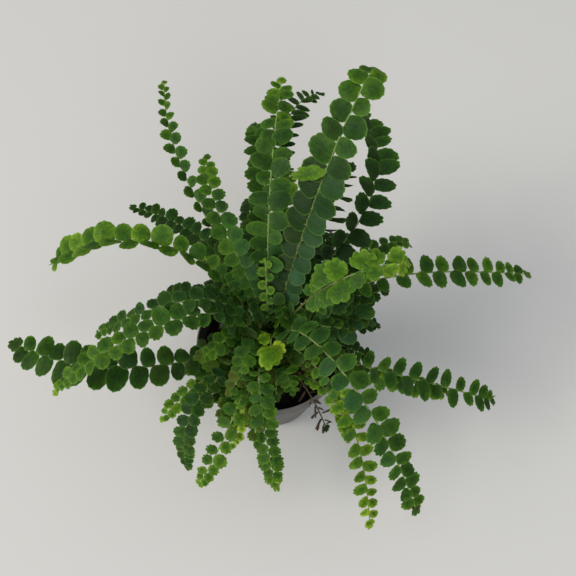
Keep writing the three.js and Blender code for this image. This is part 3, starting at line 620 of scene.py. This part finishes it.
# Fern rib: a grooved green stalk with a dull skin, browner and darker towards the crown.
def makeRibSkin():
    skin = newMaterial("fernRib")
    state = addNode(skin, "Attribute", attribute_name="leafState", output="Vector")
    brown, share = (addNode(skin, "SeparateXYZ", {0: state}, part) for part in (1, 2))
    places = addNode(skin, "TexCoord", output="Object")
    grain = addNode(skin, "TexNoise", {"Vector": places, "Scale": 1 / (1.2 * mm), "Detail": 3.0})
    tone = addNode(skin, "Math", {0: grain, 1: 0.3, 2: -0.15}, operation="MULTIPLY_ADD")
    tone = addNode(skin, "Math", {0: tone, 1: share}, operation="ADD")
    colour = addNode(skin, "ValToRGB", {"Fac": tone}, stops=(
        (0.0, "#3a2417"), (0.16, "#5b4d2a"), (0.3, "#62783c"), (0.75, "#6f8c48"), (1.0, "#7fa046")))
    wood = addNode(skin, "Math", {0: share, 1: -0.95, 2: 1.05}, operation="MULTIPLY_ADD")
    wood = addNode(skin, "Math", {0: brown, 1: wood}, operation="MULTIPLY", use_clamp=True)
    colour = addNode(skin, "Mix", {0: wood, 6: colour, 7: "#3c3a22"}, 2, data_type="RGBA")
    bump = addNode(skin, "Bump", {"Height": grain, "Strength": 0.4, "Distance": 0.2 * mm})
    surface = addNode(skin, "BsdfPrincipled", {
        "Base Color": colour, "Roughness": 0.55, "Specular IOR Level": 0.35, "Normal": bump})
    addNode(skin, "OutputMaterial", {"Surface": surface})
    return skin


# Chaff: dry papery scales, tan to rust, with no shine.
def makeChaffSkin():
    skin = newMaterial("paperyChaff")
    state = addNode(skin, "Attribute", attribute_name="leafState", output="Vector")
    tone = addNode(skin, "SeparateXYZ", {0: state})
    colour = addNode(skin, "ValToRGB", {"Fac": tone}, stops=(
        (0.0, "#5d3a20"), (0.4, "#9c7a4e"), (1.0, "#d6caa6")))
    surface = addNode(skin, "BsdfPrincipled", {
        "Base Color": colour, "Roughness": 0.8, "Specular IOR Level": 0.2})
    addNode(skin, "OutputMaterial", {"Surface": surface})
    return skin


plantSkins = (
    makeLeafSkin("fernBladeUpper", False), makeLeafSkin("fernBladeUnder", True),
    makeRibSkin(), makeChaffSkin(),
)
print("plant materials done")


def skinOver(bm, material=0):
    for face in bm.faces:
        face.material_index = material
        face.smooth = True


# joins a small piece to a large one, so that no operator has to walk the large one
def joinTo(bm, part, material=None):
    if material is not None:
        skinOver(part, material)
    mesh = meshFrom(part, "part")
    bm.from_mesh(mesh)
    bpy.data.meshes.remove(mesh)


def growRing(bm, edges):
    grown = bmesh.ops.extrude_edge_only(bm, edges=edges)["geom"]
    ring = [item for item in grown if isinstance(item, bmesh.types.BMVert)]
    return ring, [item for item in grown if isinstance(item, bmesh.types.BMEdge)]


# a tapering tube through a row of points
def makeWire(points, thick, sides=5):
    wire = bmesh.new()
    ring = bmesh.ops.create_circle(wire, cap_ends=True, segments=sides, radius=1)["verts"]
    edges = wire.edges[:]
    for i, point in enumerate(points):
        if i:
            ring, edges = growRing(wire, edges)
        along = (points[min(i + 1, len(points) - 1)] - points[max(i - 1, 0)]).normalized()
        side = along.cross(upward if abs(along.z) < 0.9 else Vector((1, 0, 0))).normalized()
        high = along.cross(side)
        radius = thick * lerp(1, frondMake["taper"], i / (len(points) - 1))
        for n, vertex in enumerate(ring):
            angle = 2 * math.pi * n / sides
            vertex.co = point + (side * math.cos(angle) + high * math.sin(angle)) * radius
    bmesh.ops.edgeloop_fill(wire, edges=edges)
    bmesh.ops.recalc_face_normals(wire, faces=wire.faces[:])
    return wire


# growing the fronds

# ribStep: between its rings. groove: depth along its top. curlLean and curlTurn: how the leaflets of a
# rolled tip stand. chaffGap: rib for each scale, up to the share chaffEnd, and chaffLow: how much denser
# they are low down. chaffTurn and chaffLean: degrees round the rib and towards its tip. shadedRowSheen: how
# much of the blue-green cast, in part a painted sky reflection, the left row has, as it is turned from the
# light.
frondMake = {
    "sides": 8, "ribStep": 4.0, "ribSlim": 0.95, "footSwell": 1.35, "footEnd": 0.06, "groove": 0.3,
    "taper": 0.35, "curlThick": 0.5, "curlLean": (20, 70), "curlTurn": (-25, 25), "curlSpread": (0.6, 1.1),
    "chaffLong": 1.5, "chaffSpread": (0.5, 1.3), "chaffGap": 2.4, "chaffEnd": 0.8, "chaffLow": 1.5,
    "chaffTurn": (-30, 210), "chaffLean": (10, 75), "chaffOut": 0.42, "chaffTone": (0.5, 1.0),
    "ageSpread": 0.22, "bloomSheenSpread": (0.5, 1.2), "shadedRowSheen": 0.3, "seed": 500,
}


def growRib(bm, frond):
    form = bm.verts.layers.float_vector["bladeForm"]
    state = bm.verts.layers.float_vector["leafState"]
    sides = frondMake["sides"]
    ring = bmesh.ops.create_circle(bm, cap_ends=True, segments=sides, radius=1)["verts"]
    edges = list({edge for vertex in ring for edge in vertex.link_edges})
    steps = max(8, round(frond["length"] / frondMake["ribStep"]))
    foot = ribAt(frond, 0)
    for station in range(-1, steps + 1):
        share = max(0, station / steps)
        rib = foot if station < 0 else ribAt(frond, share)
        at, right, up = rib["at"], rib["right"], rib["up"]
        if station < 0:  # sunk in the peat
            at = at - upward * (growth["above"] + growth["buried"])
            up = frond["right"].cross(upward)
        else:
            ring, edges = growRing(bm, edges)
        swell = frondMake["ribSlim"] * lerp(frondMake["footSwell"], 1, ease(0, frondMake["footEnd"], share))
        for i, vertex in enumerate(ring):
            angle = 2 * math.pi * (i + 0.5) / sides
            across = math.cos(angle) * rib["width"] / 2
            high = math.sin(angle) * rib["thick"] / 2
            if math.sin(angle) > 0.8:
                high *= 1 - frondMake["groove"]
            vertex.co = at + right * (across * swell) + up * (high * swell)
            vertex[form] = (0, 0, 0)
            vertex[state] = (frond["age"], frond["brown"], frond.get("tone", share))
    bmesh.ops.edgeloop_fill(bm, edges=edges)


# a tip that is still rolled up, or has dried: a small spiral with leaflets round it
def growCurl(bm, frond, draw):
    curl = frond["curl"]
    rib = ribAt(frond, 1)
    middle = rib["at"] - rib["up"] * curl["radius"]
    route = []
    for i in range(curl["steps"] + 1):
        out = turnedTo(rib["up"], rib["along"], curl["turn"] * i / curl["steps"])
        route.append(middle + out * (curl["radius"] * lerp(1, frondMake["taper"], i / curl["steps"])))
        for side in (1, -1) if i else ():
            axis = turnedTo(out, rib["right"] * side, draw.uniform(*frondMake["curlLean"]))
            axis = turnedTo(axis, rib["along"], draw.uniform(*frondMake["curlTurn"])).normalized()
            edge = axis.cross(out).normalized()
            size = curl["leaf"] * draw.uniform(*frondMake["curlSpread"])
            matrix = placing(route[-1], axis * size, edge * (size * curl["wide"]), axis.cross(edge) * size)
            addCopy(bm, draw.choice(blades[curl["shape"]])[0], matrix, (frond["age"], 0, curl["tone"]))
    joinTo(bm, makeWire(route, frondMake["curlThick"]), 2)


def growFrond(frond, draw):
    bm = bmesh.new()
    bm.verts.layers.float_vector.new("bladeForm")
    bm.verts.layers.float_vector.new("leafState")
    growRib(bm, frond)
    bmesh.ops.recalc_face_normals(bm, faces=bm.faces[:])
    skinOver(bm, 2)
    for place in placeLeaflets(frond, draw):
        leaf, met = settle(frond, place)
        if met > frond["most"]:
            continue
        kind = leaf.get("shape", frond["shape"] if leaf["side"] else frond["tipShape"])
        plain, mirrored = draw.choice(blades[kind])
        matrix = placing(leaf["joint"], leaf["axis"] * leaf["size"], leaf["edge"] * leaf["wide"],
                         leaf["face"] * leaf["size"])
        mesh = mirrored if matrix.determinant() < 0 else plain
        late = leaf["share"] ** frond["freshRun"]  # 1 at the tip
        age = vary(draw, leaf.get("age", frond["age"] - frond["fresh"] * late), frondMake["ageSpread"])
        # painted sky reflection: the right row, turned to the light, gets the whole blue-green cast, the left
        # row a share
        bloomSheen = frond["bloomSheen"] * draw.uniform(*frondMake["bloomSheenSpread"]) * (1 - late) ** 2
        bloomSheen *= 1 if leaf["side"] > 0 else frondMake["shadedRowSheen"]
        rust = frond.get("tone", frond["rust"] * draw.uniform(0, 1) ** 3)
        addCopy(bm, mesh, matrix, (age, bloomSheen, rust))
    if "curl" in frond:
        growCurl(bm, frond, draw)
    for _ in range(round(frond["length"] * frond["scales"] / frondMake["chaffGap"])):
        share = draw.uniform(0, 1) ** frondMake["chaffLow"] * frondMake["chaffEnd"]
        rib = ribAt(frond, share)
        out = turnedTo(rib["right"], rib["up"], draw.uniform(*frondMake["chaffTurn"]))
        point = turnedTo(out, rib["along"], draw.uniform(*frondMake["chaffLean"])).normalized()
        long = frondMake["chaffLong"] * draw.uniform(*frondMake["chaffSpread"])
        tone = ease(0, 0.3, share) * draw.uniform(*frondMake["chaffTone"])  # darker low down
        foot = rib["at"] + out * (frondMake["chaffOut"] * rib["thick"])
        addScale(bm, foot, point, long, (tone, 0, share))
    return bm


fronds = [layOut(name, spec) for name, spec in fronds.items()]
for frond in fronds:
    for i in range(int(frond["length"])):
        taken[cellAt(ribAt(frond, i / frond["length"])["at"])] = frond["name"]
for n, frond in enumerate(fronds):
    bm = growFrond(frond, random.Random(frondMake["seed"] + n))
    newPiece(bm, "fern_" + frond["name"], plantSkins, ["frond_" + frond["name"]])
print("fronds done:", len(fronds))


# undergrowth: the short fronds that fill the crown between the long ones

# rings: for each, how many, the degrees that they start at and go round, and the least and most that they
# reach out and up, and their leaflets' lengths. limits: between two directions, how far out and up they may
# go, where the pot or a pale leaf shows. dense: pairs on a leaflet's length of rib. golden: degrees from
# one frond to the next, and tipStray and rootStray: how far off that it ends and begins. rise and arch: how
# far above the tip it sets off and bends. ages: at the back and at the front.
undergrowth = {
    "rings": (
        {"count": 14, "from": 0, "round": 360, "reach": (8, 24), "tip": (120, 145), "leaf": (8.5, 10)},
        {"count": 18, "from": 0, "round": 360, "reach": (22, 44), "tip": (114, 138), "leaf": (8.5, 10)},
        {"count": 20, "from": 0, "round": 360, "reach": (42, 66), "tip": (104, 134), "leaf": (8.5, 10.5)},
        {"count": 18, "from": -15, "round": 200, "reach": (66, 100), "tip": (108, 150), "leaf": (9, 11.5)},
        {"count": 9, "from": 200, "round": 68, "reach": (62, 88), "tip": (88, 112), "leaf": (8, 10)},
    ),
    "limits": ((168, 192, 34, 145), (276, 300, 30, 108), (240, 276, 100, 106), (338, 360, 60, 140),
               (128, 168, 58, 138), (196, 240, 110, 120), (300, 338, 110, 120)),
    "looks": {"bare": 0.12, "end": 0.65, "crowd": 1, "scales": 0.7, "loose": 1.3, "most": 5},
    "shapes": ("scallop", "fan", "fan", "lobed"), "dense": 0.86 / 0.95, "golden": 137.5,
    "tipStray": (-5, 5), "rootStray": (-50, 50), "rootRing": (4, 26), "lean": 3, "rise": (5, 18),
    "out": 0.6, "sway": (-0.2, 0.2), "arch": (12, 26), "ages": (0.88, 0.58), "ageSpread": (-0.14, 0.1),
    "bloomSheen": (0, 0.35), "brown": (0.2, 0.8), "rust": 0.5, "pieces": 6, "seed": 31,
}
draw = random.Random(undergrowth["seed"])
clumps = [bmesh.new() for _ in range(undergrowth["pieces"])]
young = 0
for ring in undergrowth["rings"]:
    for i in range(ring["count"]):
        toward = ring["from"] + (i * undergrowth["golden"] / 360 % 1) * ring["round"]
        toward += draw.uniform(*undergrowth["tipStray"])
        reach = draw.uniform(*ring["reach"])
        tip = draw.uniform(*ring["tip"])
        for low, high, furthest, highest in undergrowth["limits"]:
            if low < toward % 360 < high:
                reach = min(reach, furthest)
                tip = min(tip, highest)
        front = 0.5 - 0.5 * math.sin(math.radians(toward))  # 1 at the front
        root = (toward + draw.uniform(*undergrowth["rootStray"]), draw.uniform(*undergrowth["rootRing"]))
        setOff = (undergrowth["lean"], tip + draw.uniform(*undergrowth["rise"]))
        arch = tip + draw.uniform(*undergrowth["arch"])
        bend = (undergrowth["out"], draw.uniform(*undergrowth["sway"]) * reach, arch)
        frond = layOut("young" + str(young), {
            **undergrowth["looks"], "route": (root, setOff, bend, (toward, reach, tip)),
            "leaf": draw.uniform(*ring["leaf"]),
            "age": lerp(*undergrowth["ages"], front) + draw.uniform(*undergrowth["ageSpread"]),
            "bloomSheen": draw.uniform(*undergrowth["bloomSheen"]), "brown": draw.uniform(*undergrowth["brown"]),
            "rust": undergrowth["rust"] * front * front, "shape": draw.choice(undergrowth["shapes"]),
        })
        frond["pairs"] = max(3, round(frond["length"] * undergrowth["dense"] / frond["leaf"]))
        joinTo(clumps[int(toward % 360 / 360 * len(clumps))], growFrond(frond, draw))
        young += 1
for i, clump in enumerate(clumps):
    newPiece(clump, "fern_young_" + str(i + 1), plantSkins)
print("undergrowth done:", young)


# dead fronds and stubs of old stalks round the crown

dead = {
    "fronds": (
        {"route": ((300, 26), (4, 110), (0.65, 0, 116), (304, 78, 80)), "leaf": 10},
        {"route": ((250, 27), (4, 104), (0.65, 0, 112), (226, 66, 92)), "leaf": 7},
        {"route": ((60, 26), (4, 116), (0.65, 0, 124), (48, 84, 96)), "leaf": 8},
    ),
    "looks": {"bare": 0.2, "crowd": 1, "lap": 0.3, "slim": 0.15, "slant": 35, "loose": 2.2, "seek": 0,
              "age": 1, "shape": "withered", "scales": 0.3, "brown": 1.4, "tone": 0.0},
    "pairGap": 7.5, "stubs": 34, "stubRing": (5, 27), "stubLong": (10, 34), "stubThick": (0.55, 1.0),
    "stubLean": 0.45, "stubStray": (-70, 70), "stubChaff": 22, "chaffFrom": 0.15, "chaffSpread": (1, 2.4),
    "chaffTone": (0, 0.7), "seed": 64,
}


def growDead(draw):
    bm = bmesh.new()
    for i, spec in enumerate(dead["fronds"]):
        frond = layOut("dead" + str(i), {**dead["looks"], **spec})
        frond["pairs"] = round(frond["length"] / dead["pairGap"])
        joinTo(bm, growFrond(frond, draw))
    for _ in range(dead["stubs"]):
        turn = draw.uniform(0, 360)
        foot = onCircle(turn, draw.uniform(*dead["stubRing"]))
        foot.z = growth["edge"] - 1
        leaning = turn + draw.uniform(*dead["stubStray"])
        tilt = onCircle(leaning, dead["stubLean"] * draw.uniform(0, 1))
        tall = draw.uniform(*dead["stubLong"])
        route = [foot + (upward * share + tilt * share * share) * tall for share in (0, 0.25, 0.5, 0.75, 1)]
        joinTo(bm, makeWire(route, draw.uniform(*dead["stubThick"])), 2)
        for _ in range(dead["stubChaff"]):
            start = route[0].lerp(route[-1], draw.uniform(dead["chaffFrom"], 1))
            point = Vector((draw.uniform(-1, 1), draw.uniform(-1, 1), draw.uniform(0.1, 1.2))).normalized()
            long = frondMake["chaffLong"] * draw.uniform(*dead["chaffSpread"])
            addScale(bm, start, point, long, (draw.uniform(*dead["chaffTone"]), 0, 0))
    return bm


newPiece(growDead(random.Random(dead["seed"])), "fern_dead", plantSkins)
print("dead fronds done")


# pot and peat

# profile: radius and height, from the middle of the underside out, up the wall and back in over the floor
pot = {
    "profile": ((0, 0), (36, 0), (37, 1.2), (57.8, 89), (59.6, 89), (60, 99.2), (59.2, 100), (58.57, 100),
                (35.76, 2.4), (0, 2.4)),
    "soften": 0.45, "crease": 35, "steps": 96, "drains": 5, "drainRing": 24, "drainRadius": 4,
    "drillDepth": 8,
}


# Pot: injection-moulded recycled polypropylene, charcoal and faintly satin, with fine scuffs, dust near the
# rim and a film of dried splashes.
def makePotPlastic():
    plastic = newMaterial("mouldedPolypropylene")
    places = addNode(plastic, "TexCoord", output="Object")
    height = addNode(plastic, "SeparateXYZ", {0: places}, 2)
    cloud = addNode(plastic, "TexNoise", {"Vector": places, "Scale": 1 / (18 * mm), "Detail": 4.0})
    # scuffs run round the pot: the noise is squeezed in height
    squeezed = addNode(plastic, "Mapping", {"Vector": places, "Scale": (1, 1, 14)})
    scuffs = addNode(plastic, "TexNoise", {"Vector": squeezed, "Scale": 1 / (22 * mm), "Detail": 6.0})
    grain = addNode(plastic, "TexNoise", {"Vector": places, "Scale": 1 / (0.5 * mm), "Detail": 2.0})
    dust = addNode(plastic, "MapRange", {
        "Value": height, "From Min": 84 * mm, "From Max": 101 * mm, "To Max": 0.32})
    film = addNode(plastic, "MapRange", {"Value": cloud, "From Min": 0.45, "From Max": 0.75, "To Max": 0.22})
    film = addNode(plastic, "Math", {0: film, 1: dust}, operation="ADD")
    colour = addNode(plastic, "ValToRGB", {"Fac": scuffs}, stops=(
        (0.3, "#3e3e3e"), (0.55, "#424241"), (0.75, "#484746")))
    colour = addNode(plastic, "Mix", {0: film, 6: colour, 7: "#857f76"}, 2, data_type="RGBA")
    rough = addNode(plastic, "Math", {0: film, 1: 0.5, 2: 0.42}, operation="MULTIPLY_ADD")
    relief = addNode(plastic, "Math", {0: scuffs, 1: 0.5, 2: grain}, operation="MULTIPLY_ADD")
    bump = addNode(plastic, "Bump", {"Height": relief, "Strength": 0.25, "Distance": 0.12 * mm})
    surface = addNode(plastic, "BsdfPrincipled", {
        "Base Color": colour, "Roughness": rough, "Specular IOR Level": 0.45, "Normal": bump})
    addNode(plastic, "OutputMaterial", {"Surface": surface})
    return plastic


def spunProfile(points, steps, soften=0):
    bm = bmesh.new()
    line = [bm.verts.new((radius, 0, height)) for radius, height in points]
    edges = [bm.edges.new(pair) for pair in zip(line, line[1:])]
    if soften:
        bmesh.ops.bevel(bm, geom=line[1:-1], offset=soften, offset_type="OFFSET", segments=3, profile=0.5,
                        affect="VERTICES", material=-1, clamp_overlap=True)
    bmesh.ops.spin(bm, geom=bm.verts[:] + bm.edges[:], cent=(0, 0, 0), axis=(0, 0, 1), angle=2 * math.pi,
                   steps=steps, use_merge=True)
    bmesh.ops.remove_doubles(bm, verts=bm.verts[:], dist=1e-4)
    bmesh.ops.recalc_face_normals(bm, faces=bm.faces[:])
    return bm


def growPot():
    body = spunProfile(pot["profile"], pot["steps"], pot["soften"])
    skinOver(body)
    for edge in body.edges:
        edge.smooth = edge.calc_face_angle(0) < math.radians(pot["crease"])
    drills = bmesh.new()
    for i in range(pot["drains"]):
        middle = onCircle(i * 360 / pot["drains"], pot["drainRing"])
        bmesh.ops.create_cone(drills, cap_ends=True, segments=24, radius1=pot["drainRadius"],
                              radius2=pot["drainRadius"], depth=pot["drillDepth"],
                              matrix=Matrix.Translation(middle))
    whole = newObject("potBody", meshFrom(body, "potBody"))
    drill = newObject("potDrills", meshFrom(drills, "potDrills"))
    cut = whole.modifiers.new("drains", "BOOLEAN")
    cut.object = drill
    bored = bmesh.new()
    bored.from_object(whole, bpy.context.evaluated_depsgraph_get())
    for item in (whole, drill):
        bpy.data.meshes.remove(item.data)  # its object goes with it
    return bored


newPiece(growPot(), "pot_body", [makePotPlastic()], ["pot"])
print("pot done")

# wall: radius and height of its foot and its top edge. heap and lump: how high, and heapAt and lumpAt how
# wide, the surface's swells are, and calmFrom: the radius where they begin to die away. inside and
# fibresIn: how far out anything and a fibre's middle may lie.
peat = {
    "wall": ((35.53, 2.7), (55.0, 86)), "wallSteps": 6, "rings": 46, "steps": 150, "sunk": 0.6,
    "heap": 2.6, "heapAt": 13, "lump": 2.2, "lumpAt": 4, "calmFrom": 50, "inside": 53.5,
    "crumbs": 900, "crumb": (0.5, 2.3), "crumbStretch": ((0.6, 1.2), (0.6, 1.2), (0.5, 0.9)),
    "crumbRough": (-0.3, 0.3), "fibres": 420, "fibre": (3, 11), "fibreThick": (0.12, 0.3),
    "fibreBend": 0.2, "fibreLift": (-0.2, 1.2), "fibresIn": 52, "seed": 77,
}


# Peat: black-brown, wet and matt, with paler dry crumbs and tan fibres.
def makePeatEarth():
    earth = newMaterial("dampPeat")
    places = addNode(earth, "TexCoord", output="Object")
    lumps = addNode(earth, "TexNoise", {
        "Vector": places, "Scale": 1 / (3 * mm), "Detail": 6.0, "Roughness": 0.7})
    flecks = addNode(earth, "TexVoronoi", {"Vector": places, "Scale": 1 / (1.6 * mm)})
    colour = addNode(earth, "ValToRGB", {"Fac": lumps}, stops=(
        (0.35, "#060505"), (0.55, "#0e0c0a"), (0.74, "#231b15")))
    pale = addNode(earth, "MapRange", {"Value": flecks, "From Max": 0.16, "To Min": 0.4, "To Max": 0.0})
    colour = addNode(earth, "Mix", {0: pale, 6: colour, 7: "#3f3024"}, 2, data_type="RGBA")
    bump = addNode(earth, "Bump", {"Height": lumps, "Strength": 0.9, "Distance": 0.9 * mm})
    surface = addNode(earth, "BsdfPrincipled", {
        "Base Color": colour, "Roughness": 0.88, "Specular IOR Level": 0.25, "Normal": bump})
    addNode(earth, "OutputMaterial", {"Surface": surface})
    return earth


# Dry stalk and root: dull brown and wiry.
def makeDryFibre():
    dry = newMaterial("dryFibre")
    places = addNode(dry, "TexCoord", output="Object")
    grain = addNode(dry, "TexNoise", {"Vector": places, "Scale": 1 / (6 * mm), "Detail": 2.0})
    colour = addNode(dry, "ValToRGB", {"Fac": grain}, stops=(
        (0.3, "#2a1b11"), (0.5, "#5a4028"), (0.7, "#9a7c52")))
    surface = addNode(dry, "BsdfPrincipled", {
        "Base Color": colour, "Roughness": 0.8, "Specular IOR Level": 0.2})
    addNode(dry, "OutputMaterial", {"Surface": surface})
    return dry


def peatAt(x, y):
    radius = math.hypot(x, y)
    calm = 1 - ease(peat["calmFrom"], growth["edgeRadius"], radius)
    heap = noise.noise(Vector((x, y, 0)) / peat["heapAt"]) * peat["heap"]
    lump = noise.noise(Vector((x, y, 9)) / peat["lumpAt"]) * peat["lump"]
    return peatTop(radius) + (heap + lump) * calm - peat["sunk"]


def growPeat(draw):
    foot, edge = peat["wall"]
    count = peat["wallSteps"]
    wall = [(lerp(foot[0], edge[0], i / count), lerp(foot[1], edge[1], i / count)) for i in range(count + 1)]
    top = [(edge[0] * (1 - i / peat["rings"]), edge[1]) for i in range(1, peat["rings"] + 1)]
    bm = spunProfile([(0, foot[1])] + wall + top, peat["steps"])
    for vertex in bm.verts:
        if vertex.co.z > edge[1] - 1:
            vertex.co.z = peatAt(vertex.co.x, vertex.co.y)
    skinOver(bm)
    for _ in range(peat["crumbs"]):
        at = onCircle(draw.uniform(0, 360), peat["inside"] * math.sqrt(draw.uniform(0, 1)))
        at.z = peatAt(at.x, at.y)
        size = lerp(*peat["crumb"], draw.uniform(0, 1) ** 3)
        turn = Matrix.Rotation(draw.uniform(0, 6), 4, "Z") @ Matrix.Rotation(draw.uniform(0, 6), 4, "X")
        stretch = Matrix.Diagonal([draw.uniform(*span) for span in peat["crumbStretch"]] + [1])
        crumb = bmesh.new()
        bmesh.ops.create_icosphere(crumb, subdivisions=1, radius=size / 2,
                                   matrix=Matrix.Translation(at) @ turn @ stretch)
        for vertex in crumb.verts:
            vertex.co += (vertex.co - at) * draw.uniform(*peat["crumbRough"])
        joinTo(bm, crumb, 0)
    for _ in range(peat["fibres"]):
        at = onCircle(draw.uniform(0, 360), peat["fibresIn"] * math.sqrt(draw.uniform(0, 1)))
        heading = onCircle(draw.uniform(0, 360), 1)
        long = draw.uniform(*peat["fibre"])
        bend = onCircle(draw.uniform(0, 360), long * peat["fibreBend"])
        points = []
        for i in range(5):
            point = at + heading * (long * (i / 4 - 0.5)) + bend * math.sin(math.pi * i / 4)
            if point.length > peat["inside"]:
                point *= peat["inside"] / point.length
            point.z = peatAt(point.x, point.y) + draw.uniform(*peat["fibreLift"])
            points.append(point)
        joinTo(bm, makeWire(points, draw.uniform(*peat["fibreThick"]), 3), 1)
    return bm


newPiece(
    growPeat(random.Random(peat["seed"])), "pot_peat", [makePeatEarth(), makeDryFibre()], ["soil"])
print("peat done")


# floor and light

room = {
    "floor": "#c6c7c6", "floorSize": 24.0, "sky": "#e9ebee", "skyStrength": 0.64, "aim": (0, 0, 0.1),
    "key": {"place": (-4.3, -1.3, 3.4), "size": 3.0, "power": 55, "spread": 80, "colour": "#fff6e8"},
    "fill": {"place": (0.6, -3.6, 3.0), "size": 2.4, "power": 70, "spread": 180, "colour": "#f6f6f6"},
}


# Floor: plain painted board, pale and matt, so that it takes soft shadows and shows no glints.
paleBoard = newMaterial("paleBoard")
surface = addNode(paleBoard, "BsdfPrincipled", {
    "Base Color": room["floor"], "Roughness": 0.7, "Specular IOR Level": 0.3})
addNode(paleBoard, "OutputMaterial", {"Surface": surface})
sheet = bmesh.new()
bmesh.ops.create_grid(sheet, x_segments=1, y_segments=1, size=room["floorSize"] / 2)
floor = newObject("floor", meshFrom(sheet, "floor"))
floor.data.materials.append(paleBoard)
for name in ("key", "fill"):
    lamp = bpy.data.lights.new(name, "AREA")
    lamp.size = room[name]["size"]
    lamp.spread = math.radians(room[name]["spread"])
    lamp.energy = room[name]["power"]
    lamp.color = linear(room[name]["colour"])[:3]
    light = newObject(name, lamp)
    light.location = room[name]["place"]
    light.rotation_euler = (Vector(room["aim"]) - light.location).to_track_quat("-Z", "Y").to_euler()
world = bpy.data.worlds.new("softSky")
bpy.context.scene.world = world
world.use_nodes = True
sky = world.node_tree.nodes["Background"]
sky.inputs["Color"].default_value = linear(room["sky"])
sky.inputs["Strength"].default_value = room["skyStrength"]
bpy.context.scene.view_settings.view_transform = "Standard"
print("floor and light done")
